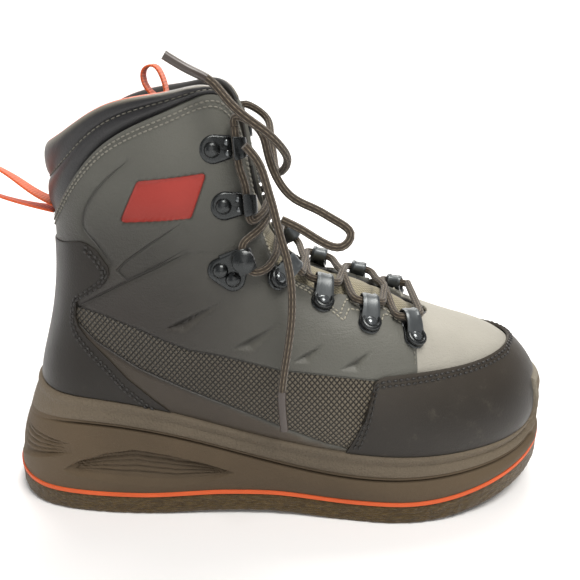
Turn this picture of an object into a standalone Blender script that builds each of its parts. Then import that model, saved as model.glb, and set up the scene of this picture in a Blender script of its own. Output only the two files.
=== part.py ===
"""Right wading boot, laced and empty, standing on its felt sole.

Frame: the origin is the centre of the heel on the floor, +X points to the toe, +Y to the medial
side and +Z up. Tables are in millimetres for the reference size, and the model is in metres.
"""

import math

import bmesh
import bpy
import numpy as np
from mathutils import Matrix, Vector

MM = 0.001

# Driving dimensions, in millimetres
SOLE_LENGTH = 317.0
BALL_WIDTH = 110.0
COLLAR_HEIGHT = 231.0
WALL = 2.6
GAP = 0.3
OVERLAY_GAP = 0.85
FELT_THICKNESS = 11.5
WEDGE_THICKNESS = 1.7
TOE_SPRING = 17.0
ARCH_LIFT = 2.0
LACE_RADIUS = 2.1
EDGE_CLEARANCE = 4.0

# The size that the tables below are drawn for
TABLE_LENGTH = 317.0
TABLE_BALL = 110.0
TABLE_COLLAR = 231.0
SCALE = np.array([SOLE_LENGTH / TABLE_LENGTH, BALL_WIDTH / TABLE_BALL, COLLAR_HEIGHT / TABLE_COLLAR])

STATIONS = (
    "heel_back", "heel_quarter", "heel_side", "ankle", "waist",
    "joint", "ball", "toe_side", "toe_corner", "toe_tip",
)

# One row for each station: x, half width to the lateral side, half width to the medial side
OUTLINE = (
    (-44, 0, 0),
    (-31, 30, 29),
    (8, 45.5, 41),
    (55, 48.5, 39),
    (104, 49, 37.5),
    (142, 54, 44),
    (182, 59, 51),
    (226, 49, 51),
    (258, 27, 36),
    (273, 0, 0),
)
OUTLINE_TIP_Y = 6

# The sections of the upper, level by level: x, lateral, medial, z for each station
SEAT = (
    (-23, 0, 0, 42), (-12, 25, 24, 42), (16, 36, 34, 41), (55, 36, 33, 38), (100, 38, 31, 33),
    (140, 46, 40, 30), (180, 50, 45, 30), (221, 40, 43, 32), (248, 23, 29, 35), (261, 0, 0, 37),
)
SWELL = (
    (-24, 0, 0, 64), (-13, 27, 25, 64), (16, 38.5, 36, 63), (55, 42, 38, 59), (99, 45, 38, 51),
    (139, 52, 46, 46), (180, 55, 50, 45), (224, 45, 47, 46), (254, 26, 32, 49), (267, 0, 0, 52),
)
MIDDLE = (
    (-16, 0, 0, 99), (-7, 24.5, 23, 99), (17, 36, 35, 98), (54, 43, 42, 98), (88, 46, 42, 96),
    (130, 51, 46, 82), (173, 52, 48, 74), (215, 40, 41, 77), (243, 23, 26, 80), (256, 0, 0, 80),
)
UPPER = (
    (-8, 0, 0, 142), (1, 23, 22.5, 143), (20, 35, 34, 146), (56, 41, 39, 152), (89, 38, 36, 154),
    (119, 40, 38, 120), (162, 41, 38, 105), (204, 28.5, 29, 98), (223, 15, 16, 97), (231, 0, 0, 97),
)
TOP_LINE = (
    (-9, 0, 0, 202), (4, 23, 22.5, 209), (31, 36, 35, 224), (66, 40, 38, 231), (94, 27.5, 26.5, 215),
    (109, 25.5, 25, 146), (150, 22.5, 22, 121.5), (186, 17, 17, 108), (197, 8, 8, 105.5), (200, 0, 0, 105),
)
LEVELS = (SEAT, SWELL, MIDDLE, UPPER, TOP_LINE)
LEVEL_TIP_Y = (5, 5, 4, 3, 2)

# Heights and margins that change along the boot, one value for each station
RIM_HEIGHT = (72, 71, 69, 63, 51, 45, 41.5, 41, 44, 46)
LEDGE_HEIGHT = (49, 53, 55, 49, 36, 29, 27, 28.5, 33, 37)
COLLAR_DROP = (40, 34, 20, 8, 1.2, 0, 0, 0, 0, 0)
RAND_HEIGHT = (84, 84, 84, 84, 84, 84, 86, 86, 88, 88)

# Toe bumper: how far the rim rises over the toe tip, and how wide it is in stations
BUMPER_RISE = 23.0
BUMPER_HALF = 0.72
BUMPER_EDGE = 0.26

# Heel counter: x and z of its side edge, from the floor end to its top corner
COUNTER_EDGE = ((55, 64), (34, 79), (20, 93), (8, 111), (8, 121), (16, 128), (26, 138), (26, 147), (12, 159))
COUNTER_THICKNESS = 1.5

# Toe rand: x and z of the lower and upper end of its rear edge
RAND_REAR_LOW = (149, 46)
RAND_REAR_HIGH = (161, 84)
RAND_THICKNESS = 1.5
RAND_MARGIN = 0.07
# Its rounded rear corner: share of the rand's length, and how far the edge drops there
RAND_CORNER = 0.04
RAND_CORNER_DROP = 7.0

# Lacing hardware: x and z of each rivet, on both sides
LOOP_RIVETS = ((185, 103), (161, 112), (136, 122), (112, 136))
LOCK_RIVET = (86, 145)
HOOK_RIVETS = ((87, 175), (82, 203))
# Direction in which each piece points, as x and z
LOOP_AIM = ((0.10, 1), (0.18, 1), (0.25, 1), (1.0, 0.85))
LOCK_AIM = (1.0, 0.35)
HOOK_AIM = (1.0, 0.08)

# Tongue above the throat: x and z of the middle of its front face, half width and crown
TONGUE_LEAN = (
    (103, 167, 25.0, 7.0), (95, 184, 26.5, 7.0), (83, 201, 27.0, 7.0),
    (69, 215, 26.5, 6.5), (53, 226, 25.0, 6.0),
)
TONGUE_THICKNESS = 5.0

NOTCH_DEPTH = 6.0
NOTCH_HALF = 0.0085

RING_STEPS = 48
COLOURS = {
    "felt": (0.105, 0.078, 0.042), "orange": (0.80, 0.17, 0.045), "midsole": (0.110, 0.092, 0.068),
    "quarter": (0.130, 0.120, 0.105), "dark": (0.040, 0.036, 0.031), "collar": (0.050, 0.050, 0.052),
    "textile": (0.33, 0.31, 0.25), "metal": (0.030, 0.036, 0.040), "lace": (0.105, 0.085, 0.065),
    "insole": (0.06, 0.06, 0.06),
}


def cubic_weights(knots, at, closed):
    """Weights of a cubic spline through one value at each knot. A closed one has one more knot."""
    knots = np.asarray(knots, float)
    at = np.atleast_1d(np.asarray(at, float))
    count = len(knots) - 1 if closed else len(knots)
    bend, load = np.zeros((count, count)), np.zeros((count, count))
    step = np.diff(knots)
    for i in range(count):
        if not closed and i in (0, count - 1):
            bend[i, i] = 1
            continue
        before, after = step[i - 1], step[i]
        last, following = (i - 1) % count, (i + 1) % count
        bend[i, last] += before / 6
        bend[i, i] += (before + after) / 3
        bend[i, following] += after / 6
        load[i, following] += 1 / after
        load[i, i] -= 1 / after + 1 / before
        load[i, last] += 1 / before
    bending = np.linalg.solve(bend, load)
    if closed:
        at = knots[0] + (at - knots[0]) % (knots[-1] - knots[0])
    cell = np.clip(np.searchsorted(knots, at, side="right") - 1, 0, len(step) - 1)
    width = step[cell]
    a = (knots[cell + 1] - at) / width
    b = 1 - a
    rows = np.arange(len(at))
    weights = np.zeros((len(at), count))
    weights[rows, cell % count] += a
    weights[rows, (cell + 1) % count] += b
    weights += ((a**3 - a) * width**2 / 6)[:, None] * bending[cell % count]
    weights += ((b**3 - b) * width**2 / 6)[:, None] * bending[(cell + 1) % count]
    return weights


def ring_points(rows, tip_y):
    """The closed ring of one table, from the heel back along the lateral side, round the toe and back."""
    tip = (rows[-1][0], tip_y, *rows[-1][3:])
    lateral = [(r[0], -r[1], *r[3:]) for r in rows[1:-1]]
    medial = [(r[0], r[2], *r[3:]) for r in reversed(rows[1:-1])]
    return np.array([(rows[0][0], 0, *rows[0][3:]), *lateral, tip, *medial], float)


def station_knots():
    """How far round each station is, from 0 at the heel back to 1, the same on both sides."""
    ring = ring_points(OUTLINE, OUTLINE_TIP_Y)
    chord = np.linalg.norm(np.diff(np.vstack([ring, ring[:1]]), axis=0), axis=1)
    chord = (chord + chord[::-1]) / 2
    return np.concatenate([[0], np.cumsum(chord)]) / chord.sum()


KNOTS = station_knots()
NET = np.array([ring_points(rows, tip) for rows, tip in zip(LEVELS, LEVEL_TIP_Y)]) * SCALE
RISE = np.linalg.norm(np.diff(NET, axis=0), axis=2).mean(axis=1)
LEVEL_KNOTS = np.concatenate([[0], np.cumsum(RISE)]) / RISE.sum()


def station(index):
    """How far round a station is on the lateral side; between two stations the index has a fraction."""
    return float(np.interp(index, range(len(STATIONS)), KNOTS[: len(STATIONS)]))


def along(values, u):
    """A value given at each station, smoothed and the same on both sides, read at u."""
    ring = np.array([*values, *values[-2:0:-1]], float)
    return cubic_weights(KNOTS, u, True) @ ring


def last_point(u, v):
    """Points of the upper's outer face, u round the boot and v from its seat to its top line."""
    u, v = np.broadcast_arrays(np.atleast_1d(u).astype(float), v)
    around, up = cubic_weights(KNOTS, u, True), cubic_weights(LEVEL_KNOTS, v, False)
    return np.einsum("ns,nl,lsc->nc", around, up, NET)


def last_normal(u, v):
    """Outward normals of the upper's face."""
    u, v = np.broadcast_arrays(np.atleast_1d(u).astype(float), v)
    step = 1e-3
    low, high = np.clip(v - step, 0, 1), np.clip(v + step, 0, 1)
    across = last_point(u + step, v) - last_point(u - step, v)
    upward = last_point(u, high) - last_point(u, low)
    normal = np.cross(across, upward)
    return normal / np.linalg.norm(normal, axis=1, keepdims=True)


def last_offset(u, v, distance):
    """The upper's face moved outward by a distance."""
    return last_point(u, v) + last_normal(u, v) * np.reshape(distance, (-1, 1))


def v_at_height(u, height):
    """v of the point at a height, on each column u."""
    u = np.atleast_1d(u).astype(float)
    low, high = np.zeros(len(u)), np.ones(len(u))
    target = np.broadcast_to(np.asarray(height, float) * SCALE[2], u.shape)
    for _ in range(30):
        middle = (low + high) / 2
        below = last_point(u, middle)[:, 2] < target
        low, high = np.where(below, middle, low), np.where(below, high, middle)
    return (low + high) / 2


def v_below_top(u, drop):
    """v of the point that lies a drop below the top line, measured along the column."""
    speed = np.linalg.norm(last_point(u, 1.0) - last_point(u, 0.98), axis=1) / 0.02
    return 1 - np.asarray(drop) / speed


FACE_U, FACE_V = (g.ravel() for g in np.meshgrid(np.linspace(0, 1, 361), np.linspace(0, 1, 81)))
FACE_POINTS, FACE_NORMALS = last_point(FACE_U, FACE_V), last_normal(FACE_U, FACE_V)


def locate(x, z):
    """u and v, on the lateral side, of the point that a side view shows at x and z."""
    target = np.array([x * SCALE[0], z * SCALE[2]])
    away = ((FACE_POINTS[:, [0, 2]] - target) ** 2).sum(axis=1) + 1e6 * (FACE_U > 0.5)
    nearest = np.argmin(away)
    uv = np.array([FACE_U[nearest], FACE_V[nearest]])
    for _ in range(8):
        here = last_point(uv[0], uv[1])[0, [0, 2]]
        step_u = last_point(uv[0] + 1e-4, uv[1])[0, [0, 2]] - here
        step_v = last_point(uv[0], uv[1] + 1e-4)[0, [0, 2]] - here
        move = np.linalg.lstsq(np.column_stack([step_u, step_v]) / 1e-4, target - here, rcond=None)[0]
        uv = np.clip(uv + np.clip(move, -0.02, 0.02), [0, 0], [0.5, 1])
    return uv


def smooth_step(value, low, high):
    """0 below low and 1 above high, with a soft ramp."""
    t = np.clip((np.asarray(value, float) - low) / (high - low), 0, 1)
    return t * t * (3 - 2 * t)


def toe_distance(u):
    """Stations between u and the toe tip."""
    folded = 0.5 - np.abs(np.atleast_1d(u) % 1 - 0.5)
    return len(STATIONS) - 1 - np.interp(folded, KNOTS[: len(STATIONS)], range(len(STATIONS)))


def rim_height(u, margin=0.0):
    """Height of the midsole's rim, with the bumper that rises over the toe, wider by a margin."""
    half = BUMPER_HALF + margin
    bumper = 1 - smooth_step(toe_distance(u), half - BUMPER_EDGE / 2, half + BUMPER_EDGE / 2)
    return along(RIM_HEIGHT, u) + BUMPER_RISE * bumper


def floor_rise(x):
    """How far the felt's underside is above the floor: toe spring, arch and rounded heel."""
    x = np.asarray(x, float) / SCALE[0]
    toe = TOE_SPRING * np.clip((x - 178) / 95, 0, None) ** 2
    heel = 3.5 * np.clip((-16 - x) / 28, 0, None) ** 2
    arch = ARCH_LIFT * (smooth_step(x, 35, 85) - smooth_step(x, 105, 150))
    return toe + heel + arch


def outline_point(u, margin=0.0):
    """Points of the sole's outline in plan, moved inward by a margin."""
    ring = ring_points(OUTLINE, OUTLINE_TIP_Y) * SCALE[:2]
    here = cubic_weights(KNOTS, u, True) @ ring
    ahead = cubic_weights(KNOTS, np.atleast_1d(u) + 1e-3, True) @ ring
    behind = cubic_weights(KNOTS, np.atleast_1d(u) - 1e-3, True) @ ring
    tangent = (ahead - behind) / np.linalg.norm(ahead - behind, axis=1, keepdims=True)
    inward = np.column_stack([-tangent[:, 1], tangent[:, 0]])
    return here + inward * margin


def sole_ring(u, height, margin):
    """A ring of the sole, at a height above the felt's underside."""
    plan = outline_point(u, margin)
    return np.column_stack([plan, floor_rise(plan[:, 0]) + height])


def notch_places():
    """u of each notch in the throat's edge, half way between two lace loops."""
    middles = [np.mean(pair, axis=0) for pair in zip(LOOP_RIVETS, LOOP_RIVETS[1:])]
    return [locate(x + 2, z + 8)[0] for x, z in middles]


NOTCHES = notch_places()


def ring_samples():
    """Values of u round the boot, closer together at heel and toe, with the corners of the toe
    bumper and of the throat's notches among them."""
    turn = np.arange(RING_STEPS) / RING_STEPS
    even = turn - 0.035 * np.sin(4 * math.pi * turn)
    bumper = len(STATIONS) - 1 - BUMPER_HALF
    corners = [station(bumper + side * BUMPER_EDGE / 2) for side in (-1, -0.33, 0.33, 1)]
    corners += [n + side * NOTCH_HALF for n in NOTCHES for side in (-1, 0, 1)]
    corners = np.array(corners + [1 - c for c in corners])
    kept = [u for u in even if np.abs(corners - u).min() > 0.3 / RING_STEPS]
    return np.array(sorted([*kept, *corners]))


def make_object(name, vertices, faces, colour, smooth_angle=35):
    """A named object from vertices in millimetres, its faces turned outward."""
    mesh = bpy.data.meshes.new(name)
    mesh.from_pydata([Vector(p) * MM for p in vertices], [], faces)
    shape = bmesh.new()
    shape.from_mesh(mesh)
    bmesh.ops.recalc_face_normals(shape, faces=shape.faces)
    shape.to_mesh(mesh)
    shape.free()
    mesh.materials.append(material(colour))
    mesh.shade_smooth()
    mesh.set_sharp_from_angle(angle=math.radians(smooth_angle))
    part = bpy.data.objects.new(name, mesh)
    bpy.context.scene.collection.objects.link(part)
    return part


def material(colour):
    """The plain material of a colour."""
    if colour in bpy.data.materials:
        return bpy.data.materials[colour]
    made = bpy.data.materials.new(colour)
    made.use_nodes = True
    shader = made.node_tree.nodes["Principled BSDF"]
    shader.inputs["Base Color"].default_value = (*COLOURS[colour], 1)
    shader.inputs["Roughness"].default_value = 0.3 if colour == "metal" else 0.7
    shader.inputs["Metallic"].default_value = 1.0 if colour == "metal" else 0.0
    return made


def band_faces(first, second):
    """Quads between two closed rings of vertex numbers."""
    after = lambda ring, i: ring[(i + 1) % len(ring)]
    return [(first[i], after(first, i), after(second, i), second[i]) for i in range(len(first))]


def cross_faces(ring):
    """Faces that fill a ring round the boot, from heel to toe, between its two sides."""
    count = len(ring)
    faces = [(ring[0], ring[1], ring[-1])]
    faces += [(ring[i], ring[i + 1], ring[count - i - 1], ring[count - i]) for i in range(1, count // 2 - 1)]
    return [*faces, (ring[count // 2 - 1], ring[count // 2], ring[count // 2 + 1])]


def loft(name, rings, colour, ends="filled", **look):
    """A solid through closed rings. Its ends are filled, crossed from side to side, or joined."""
    vertices = np.vstack(rings)
    count = len(rings[0])
    numbers = [list(range(i * count, (i + 1) * count)) for i in range(len(rings))]
    faces = [face for a, b in zip(numbers, numbers[1:]) for face in band_faces(a, b)]
    if ends == "joined":
        faces += band_faces(numbers[-1], numbers[0])
    elif ends == "crossed":
        faces += cross_faces(numbers[0]) + cross_faces(numbers[-1])
    else:
        faces += [tuple(numbers[0]), tuple(numbers[-1])]
    return make_object(name, vertices, faces, colour, **look)


def shell(name, outer, inner, colour, **look):
    """A solid between two grids of points, closed along their four edges."""
    rows, columns = outer.shape[:2]
    vertices = np.vstack([outer.reshape(-1, 3), inner.reshape(-1, 3)])
    shift = rows * columns
    number = lambda r, c: r * columns + c
    faces = []
    for r in range(rows - 1):
        for c in range(columns - 1):
            quad = (number(r, c), number(r, c + 1), number(r + 1, c + 1), number(r + 1, c))
            faces += [quad, tuple(shift + i for i in reversed(quad))]
    edge = [number(0, c) for c in range(columns)]
    edge += [number(r, columns - 1) for r in range(1, rows)]
    edge += [number(rows - 1, c) for c in range(columns - 2, -1, -1)]
    edge += [number(r, 0) for r in range(rows - 2, 0, -1)]
    faces += [(a, shift + a, shift + b, b) for a, b in zip(edge, edge[1:] + edge[:1])]
    return make_object(name, vertices, faces, colour, **look)


def cut(part, cutter):
    """Takes one solid out of another."""
    cutter.hide_render = True
    cutter.display_type = "WIRE"
    modifier = part.modifiers.new("cut", "BOOLEAN")
    modifier.operation = "DIFFERENCE"
    modifier.object = cutter


def join(part, *others):
    """Joins solids that overlap into one, and removes the others."""
    for other in others:
        modifier = part.modifiers.new("join", "BOOLEAN")
        modifier.operation = "UNION"
        modifier.object = other
    bpy.context.view_layer.update()
    joined = bpy.data.meshes.new_from_object(part.evaluated_get(bpy.context.evaluated_depsgraph_get()))
    part.modifiers.clear()
    part.data = joined
    for other in others:
        bpy.data.objects.remove(other)
    return part


def felt_outsole():
    """The felt that walks on the river bed, with a small bevel at its lower edge."""
    u = ring_samples()
    rings = [
        sole_ring(u, 0, 1.2),
        sole_ring(u, 1.5, 0),
        sole_ring(u, FELT_THICKNESS, 0),
    ]
    loft("felt_outsole", rings, "felt", ends="crossed")


def orange_wedge():
    """The thin orange layer between felt and midsole."""
    u = ring_samples()
    low = FELT_THICKNESS + GAP
    rings = [sole_ring(u, low, 0.2), sole_ring(u, low + WEDGE_THICKNESS, 0.2)]
    loft("orange_wedge", rings, "orange", ends="crossed")


def rim_ring(u, margin, below=0.0):
    """A ring on or beside the upper at the rim's height, moved outward by a margin."""
    height = rim_height(u) - below
    ring = last_offset(u, v_at_height(u, height), margin)
    return np.column_stack([ring[:, :2], height * SCALE[2]])


def ledge_ring(u, above, margin):
    """A ring at the ledge line, between the sole's outline and the rim in plan."""
    plan = (outline_point(u, margin) + rim_ring(u, 3.4)[:, :2]) / 2
    return np.column_stack([plan, along(LEDGE_HEIGHT, u) * SCALE[2] + above])


def lower_wall(u, share):
    """The midsole's side below its ledge, share 0 at the orange layer and 1 at the ledge."""
    base = sole_ring(u, FELT_THICKNESS + WEDGE_THICKNESS + 2 * GAP, 0.6)
    ledge = ledge_ring(u, -0.7, 0.6)
    share = np.reshape(share, (-1, 1))
    wall = base + (ledge - base) * share
    outward = outline_point(u, -1) - outline_point(u, 0)
    wall[:, :2] += outward * 1.6 * 4 * share * (1 - share)
    return wall


def lower_wall_cutter(name, rows, depth, lift):
    """A cutter that follows the midsole's side. A row holds the share along the recess's length,
    u, and the lower and upper share of the wall's height that it spans there."""
    terraces = len(depth)
    shares = [(i + s) / terraces for i in range(terraces) for s in (0.04, 0.96)]
    shares[0], shares[-1] = 0.0, 1.0
    deep = [depth[i] for i in range(terraces) for _ in range(2)]
    outer, inner = [], []
    for u, low, high in rows:
        h = np.array([low + (high - low) * s for s in shares])
        wall = lower_wall(np.full(len(h), u), h)
        outward = np.append(outline_point(u, -1)[0] - outline_point(u, 0)[0], 0)
        taper = min(1.0, (high - low) / 0.30)
        outer.append(wall + outward * lift)
        inner.append(wall - outward * (np.array(deep) * taper)[:, None])
    return shell(name, np.array(outer), np.array(inner), "midsole")


def lens_rows():
    """The long lens-shaped recess in the lateral side of the heel."""
    rows = []
    for s in np.linspace(0.02, 0.98, 10):
        swell = math.sin(math.pi * s) ** 0.8
        u = station(1.55 + (3.70 - 1.55) * s)
        middle = 0.36 + 0.02 * s
        low = middle - 0.03 - 0.27 * swell * (0.75 + 0.5 * s)
        rows.append((u, low, middle + 0.03 + 0.30 * swell * (1.3 - 0.6 * s)))
    return rows


def fan_rows(side):
    """The fan-shaped recess at the back of the heel, which narrows towards the side."""
    rows = []
    for s in np.linspace(0.0, 1.0, 8):
        u = station(0.28 + 1.12 * s)
        low, high = 0.10 + 0.42 * s, 0.90 - 0.16 * s
        rows.append((u if side < 0 else 1 - u, low, high))
    return rows if side < 0 else rows[::-1]


def midsole():
    """The cup that holds the upper: stepped side, rim, toe bumper and the footbed's floor."""
    u = ring_samples()
    rim_v, low_v = v_at_height(u, rim_height(u)), v_at_height(u, along(RIM_HEIGHT, u))
    seat = last_offset(u, 0.0, 1.0)
    seat[:, 2] = along([row[3] for row in SEAT], u) * SCALE[2] - GAP - 1.0
    rings = [
        lower_wall(u, np.zeros(len(u))),
        lower_wall(u, np.full(len(u), 0.33)),
        lower_wall(u, np.full(len(u), 0.67)),
        lower_wall(u, np.ones(len(u))),
        ledge_ring(u, 0.7, 2.6),
        rim_ring(u, 4.0, below=6.0),
        rim_ring(u, 3.4, below=1.0),
        rim_ring(u, 2.4),
        rim_ring(u, GAP * 1.5),
        last_offset(u, rim_v * 0.5 + low_v * 0.42, 1.0),
        last_offset(u, low_v * 0.80, 1.0),
        last_offset(u, low_v * 0.40, 1.0),
        seat,
    ]
    body = loft("midsole", rings, "midsole", ends="crossed")
    recess = {
        "lens_cutter": (lens_rows(), (1.2, 2.0, 2.8)),
        "fan_cutter_lateral": (fan_rows(-1), (2.4, 1.7, 1.0)),
        "fan_cutter_medial": (fan_rows(1), (2.4, 1.7, 1.0)),
    }
    medial_lens = [(1 - row[0], *row[1:]) for row in reversed(lens_rows())]
    recess["lens_cutter_medial"] = (medial_lens, (1.2, 2.0, 2.8))
    for name, (rows, depth) in recess.items():
        cut(body, lower_wall_cutter(name, rows, depth, 3.0))


def insole():
    """The removable footbed on the cup's floor."""
    u = np.arange(36) / 36
    floor = along([r[3] for r in SEAT], u)
    seat, out = last_point(u, 0.0), last_normal(u, 0.02)
    out[:, 2] = 0
    inside = seat - out / np.linalg.norm(out, axis=1, keepdims=True) * (WALL + 1.6)
    rings = [np.column_stack([inside[:, :2], floor + rise]) for rise in (-0.9, 2.8)]
    loft("insole", rings, "insole", ends="crossed")


def upper_top(u):
    """v of the upper's edge: under the collar, and round the scalloped throat."""
    folded = 0.5 - np.abs(np.atleast_1d(u) % 1 - 0.5)
    drop = np.maximum(along(COLLAR_DROP, u), 0)
    depth = sum(NOTCH_DEPTH * np.clip(1 - np.abs(folded - n) / NOTCH_HALF, 0, 1) for n in NOTCHES)
    return v_below_top(u, drop + depth)


def upper():
    """Vamp and quarters as one hollow wall, open at the throat, at the collar and underneath."""
    u = ring_samples()
    top = upper_top(u)
    shares = (0, 0.12, 0.25, 0.38, 0.51, 0.64, 0.76, 0.88, 1.0)
    rings = [last_point(u, top * s) for s in shares]
    rings += [last_offset(u, top * s, -WALL) for s in (1.0, 0.88, 0.70, 0.50, 0.25, 0)]
    loft("upper", rings, "quarter", ends="joined")


def collar():
    """The padded collar, from the stitched seam up to the rolled top edge with the lining."""
    around = ring_samples()
    around = np.where(around > 0.5, around - 1, around)
    u = np.sort(around[np.abs(around) < station(3.86)])
    start = v_below_top(u, np.maximum(along(COLLAR_DROP, u), 0) - 0.45)
    pad = smooth_step(along(COLLAR_DROP, u), 0, 12)
    # Share of the height and offset from the upper's face, outer side first
    profile = (
        (0, -0.5), (0.25, 0.8), (0.55, 1.6), (0.85, 0.6), (1, -1.6),
        (1, -5.2), (0.8, -7.6), (0.4, -8.2), (0, -6.0),
    )
    rings = []
    for i in range(len(u)):
        ring = []
        for share, offset in profile:
            v = start[i] + (1 - start[i]) * share
            scaled = offset if offset > -2 else -2 + (offset + 2) * (0.25 + 0.75 * pad[i])
            scaled = scaled if offset < 0 else offset * pad[i]
            ring.append(last_offset(u[i], v, scaled)[0])
        rings.append(np.array(ring))
    loft("collar", rings, "collar")


def overlay(name, u_grid, v_grid, thickness, colour):
    """A layer that lies on the upper's face over a grid of u and v."""
    shape = u_grid.shape
    outer = last_offset(u_grid.ravel(), v_grid.ravel(), OVERLAY_GAP + thickness).reshape(*shape, 3)
    inner = last_offset(u_grid.ravel(), v_grid.ravel(), OVERLAY_GAP).reshape(*shape, 3)
    return shell(name, outer, inner, colour)


def toe_rand():
    """The dark rand round the toe, from the midsole's rim to its stitched upper edge."""
    low_u = locate(*RAND_REAR_LOW)[0]
    high_u = locate(*RAND_REAR_HIGH)[0]
    u_rows, v_rows = [], []
    bumper = len(STATIONS) - 1 - BUMPER_HALF - RAND_MARGIN
    edges = [station(bumper + side * BUMPER_EDGE / 2) for side in (-1, -0.33, 0.33, 1)]
    edges = [(edge - low_u) / (1 - 2 * low_u) for edge in edges]
    edges += [1 - edge for edge in edges] + [0.006, 0.018, 0.982, 0.994]
    even = [s for s in np.linspace(0, 1, 31) if min(abs(s - e) for e in edges) > 0.012 or s in (0, 1)]
    for s in sorted([*even, *edges]):
        foot = low_u + (1 - 2 * low_u) * s
        head = high_u + (1 - 2 * high_u) * s
        corner = max(0.0, 1 - min(s, 1 - s) / RAND_CORNER)
        drop = RAND_CORNER_DROP * (1 - math.sqrt(1 - corner**2))
        head_v = v_at_height(head, along(RAND_HEIGHT, head) - drop)
        share = np.linspace(0, 1, 7)
        u = foot + (head - foot) * share
        v_foot = v_at_height(u, rim_height(u, RAND_MARGIN) + 1.2)
        u_rows.append(u)
        v_rows.append(v_foot + (head_v - v_foot) * share)
    overlay("toe_rand", np.array(u_rows), np.array(v_rows), RAND_THICKNESS, "dark")


def heel_counter():
    """The dark counter round the heel, narrow at the ankle and wide at the floor."""
    edge = np.array([locate(x, z) for x, z in COUNTER_EDGE])
    order = np.argsort(edge[:, 1])
    edge = edge[order]
    low, high = edge[0, 1], edge[-1, 1]
    u_rows, v_rows = [], []
    for share in (0, 0.12, 0.24, 0.36, 0.48, 0.6, 0.72, 0.82, 0.9, 0.95, 1):
        v_side = low + (high - low) * share
        half = np.interp(v_side, edge[:, 1], edge[:, 0])
        u = np.linspace(-half, half, 23)
        v_foot = v_at_height(u, rim_height(u) + 1.0)
        u_rows.append(u)
        v_rows.append(v_foot + (high - v_foot) * share)
    overlay("heel_counter", np.array(u_rows), np.array(v_rows), COUNTER_THICKNESS, "dark")


def tongue_sections():
    """Rows of points across the tongue's front face, from under the vamp to its top."""
    depth = WALL + GAP + 0.6
    toe = 0.5
    sections = []
    for v, spread in ((0.90, 0.022), (0.955, 0.022)):
        u = toe + np.linspace(-2, 2, 9) * spread / 2
        sections.append(last_offset(u, v, -depth - 1.8))
    for u in (station(7.6), station(7.0), station(6.5), station(6.0), station(5.6), station(5.2)):
        tuck, edge = v_below_top(u, 9.0), 1.0
        sides = []
        for side in (u, 1 - u):
            sides.append(last_offset(np.array([side, side]), np.array([tuck[0], edge]), -depth))
        lateral, medial = sides
        width = np.linalg.norm(lateral[1] - medial[1])
        middle = (lateral[1] + medial[1]) / 2
        up = last_normal(u, 1.0)[0] + last_normal(1 - u, 1.0)[0]
        up[1] = 0
        crown = middle + up / np.linalg.norm(up) * width * 0.16
        sections.append(arc_through(lateral, crown, medial))
    centre = np.array([(x, 1.0, z) for x, z, _, _ in TONGUE_LEAN]) * SCALE
    before = np.vstack([sections[-1][4][None], centre])
    for i, (_, _, half, crown) in enumerate(TONGUE_LEAN):
        direction = before[min(i + 2, len(before) - 1)] - before[i]
        front = np.array([direction[2], 0, -direction[0]]) / np.hypot(direction[0], direction[2])
        across = np.linspace(-1, 1, 9)
        drop = crown * across**2
        sections.append(centre[i] + np.outer(across * half, [0, 1, 0]) - np.outer(drop, front))
    return np.array(sections)


def arc_through(lateral, crown, medial):
    """Nine points across: tucked edge, throat edge, over the crown, and down the other side."""
    through = np.array([lateral[0], lateral[1], crown, medial[1], medial[0]])
    knots = np.concatenate([[0], np.cumsum(np.linalg.norm(np.diff(through, axis=0), axis=1))])
    return cubic_weights(knots, np.linspace(0, knots[-1], 9), False) @ through


def grid_normals(grid):
    """Unit normals of a grid of points."""
    along_rows, along_columns = np.gradient(grid, axis=0), np.gradient(grid, axis=1)
    normal = np.cross(along_columns, along_rows)
    return normal / np.linalg.norm(normal, axis=2, keepdims=True)


def tongue_face(row_count, column_count):
    """Points and outward normals of the tongue's front face, as a grid of rows from toe to top."""
    coarse = tongue_sections()
    knots = np.concatenate([[0], np.cumsum(np.linalg.norm(np.diff(coarse[:, 4], axis=0), axis=1))])
    rows = cubic_weights(knots, np.linspace(0, knots[-1], row_count), False)
    columns = cubic_weights(np.arange(9), np.linspace(0, 8, column_count), False)
    front = np.einsum("rs,ka,sac->rkc", rows, columns, coarse)
    normal = grid_normals(front)
    return front, normal if normal[row_count // 2, column_count // 2, 2] > 0 else -normal


def tongue():
    """The padded tongue: tucked under vamp and quarters, then leaning back inside the shaft."""
    front, normal = tongue_face(17, 9)
    shell("tongue", front, front - normal * TONGUE_THICKNESS, "textile")


def seat_frame(x, z, side, aim, reach):
    """Where a riveted piece sits: a matrix with its own X along aim, Z out of the upper. The seat
    is raised to clear the upper's face within its reach."""
    u, v = locate(x, z)
    u = u if side < 0 else 1 - u
    origin = last_point(u, v)[0]
    out = last_normal(u, v)[0]
    near = (np.linalg.norm(FACE_POINTS - origin, axis=1) < reach) & (FACE_V < upper_top(FACE_U))
    out = FACE_NORMALS[near].mean(axis=0)
    out /= np.linalg.norm(out)
    origin = origin + out * max(0, ((FACE_POINTS[near] - origin) @ out).max())
    towards = np.array([aim[0], 0, aim[1]], float)
    towards -= out * towards.dot(out)
    towards /= np.linalg.norm(towards)
    beside = np.cross(out, towards)
    rows = zip(np.column_stack([towards, beside, out]), origin)
    return Matrix([(*row, p) for row, p in rows] + [(0, 0, 0, 1)])


def strip(name, line, thickness, width, colour):
    """A bent strip: a line of x and z points given a thickness, and a width along Y."""
    line = np.array(line, float)
    tangent = np.gradient(line, axis=0)
    tangent /= np.linalg.norm(tangent, axis=1, keepdims=True)
    side = np.column_stack([-tangent[:, 1], tangent[:, 0]]) * thickness / 2
    profile = np.vstack([line + side, (line - side)[::-1]])
    sides = [np.full(len(profile), y) for y in (-width / 2, width / 2)]
    return loft(name, [np.column_stack([profile[:, 0], y, profile[:, 1]]) for y in sides], colour)


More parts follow.
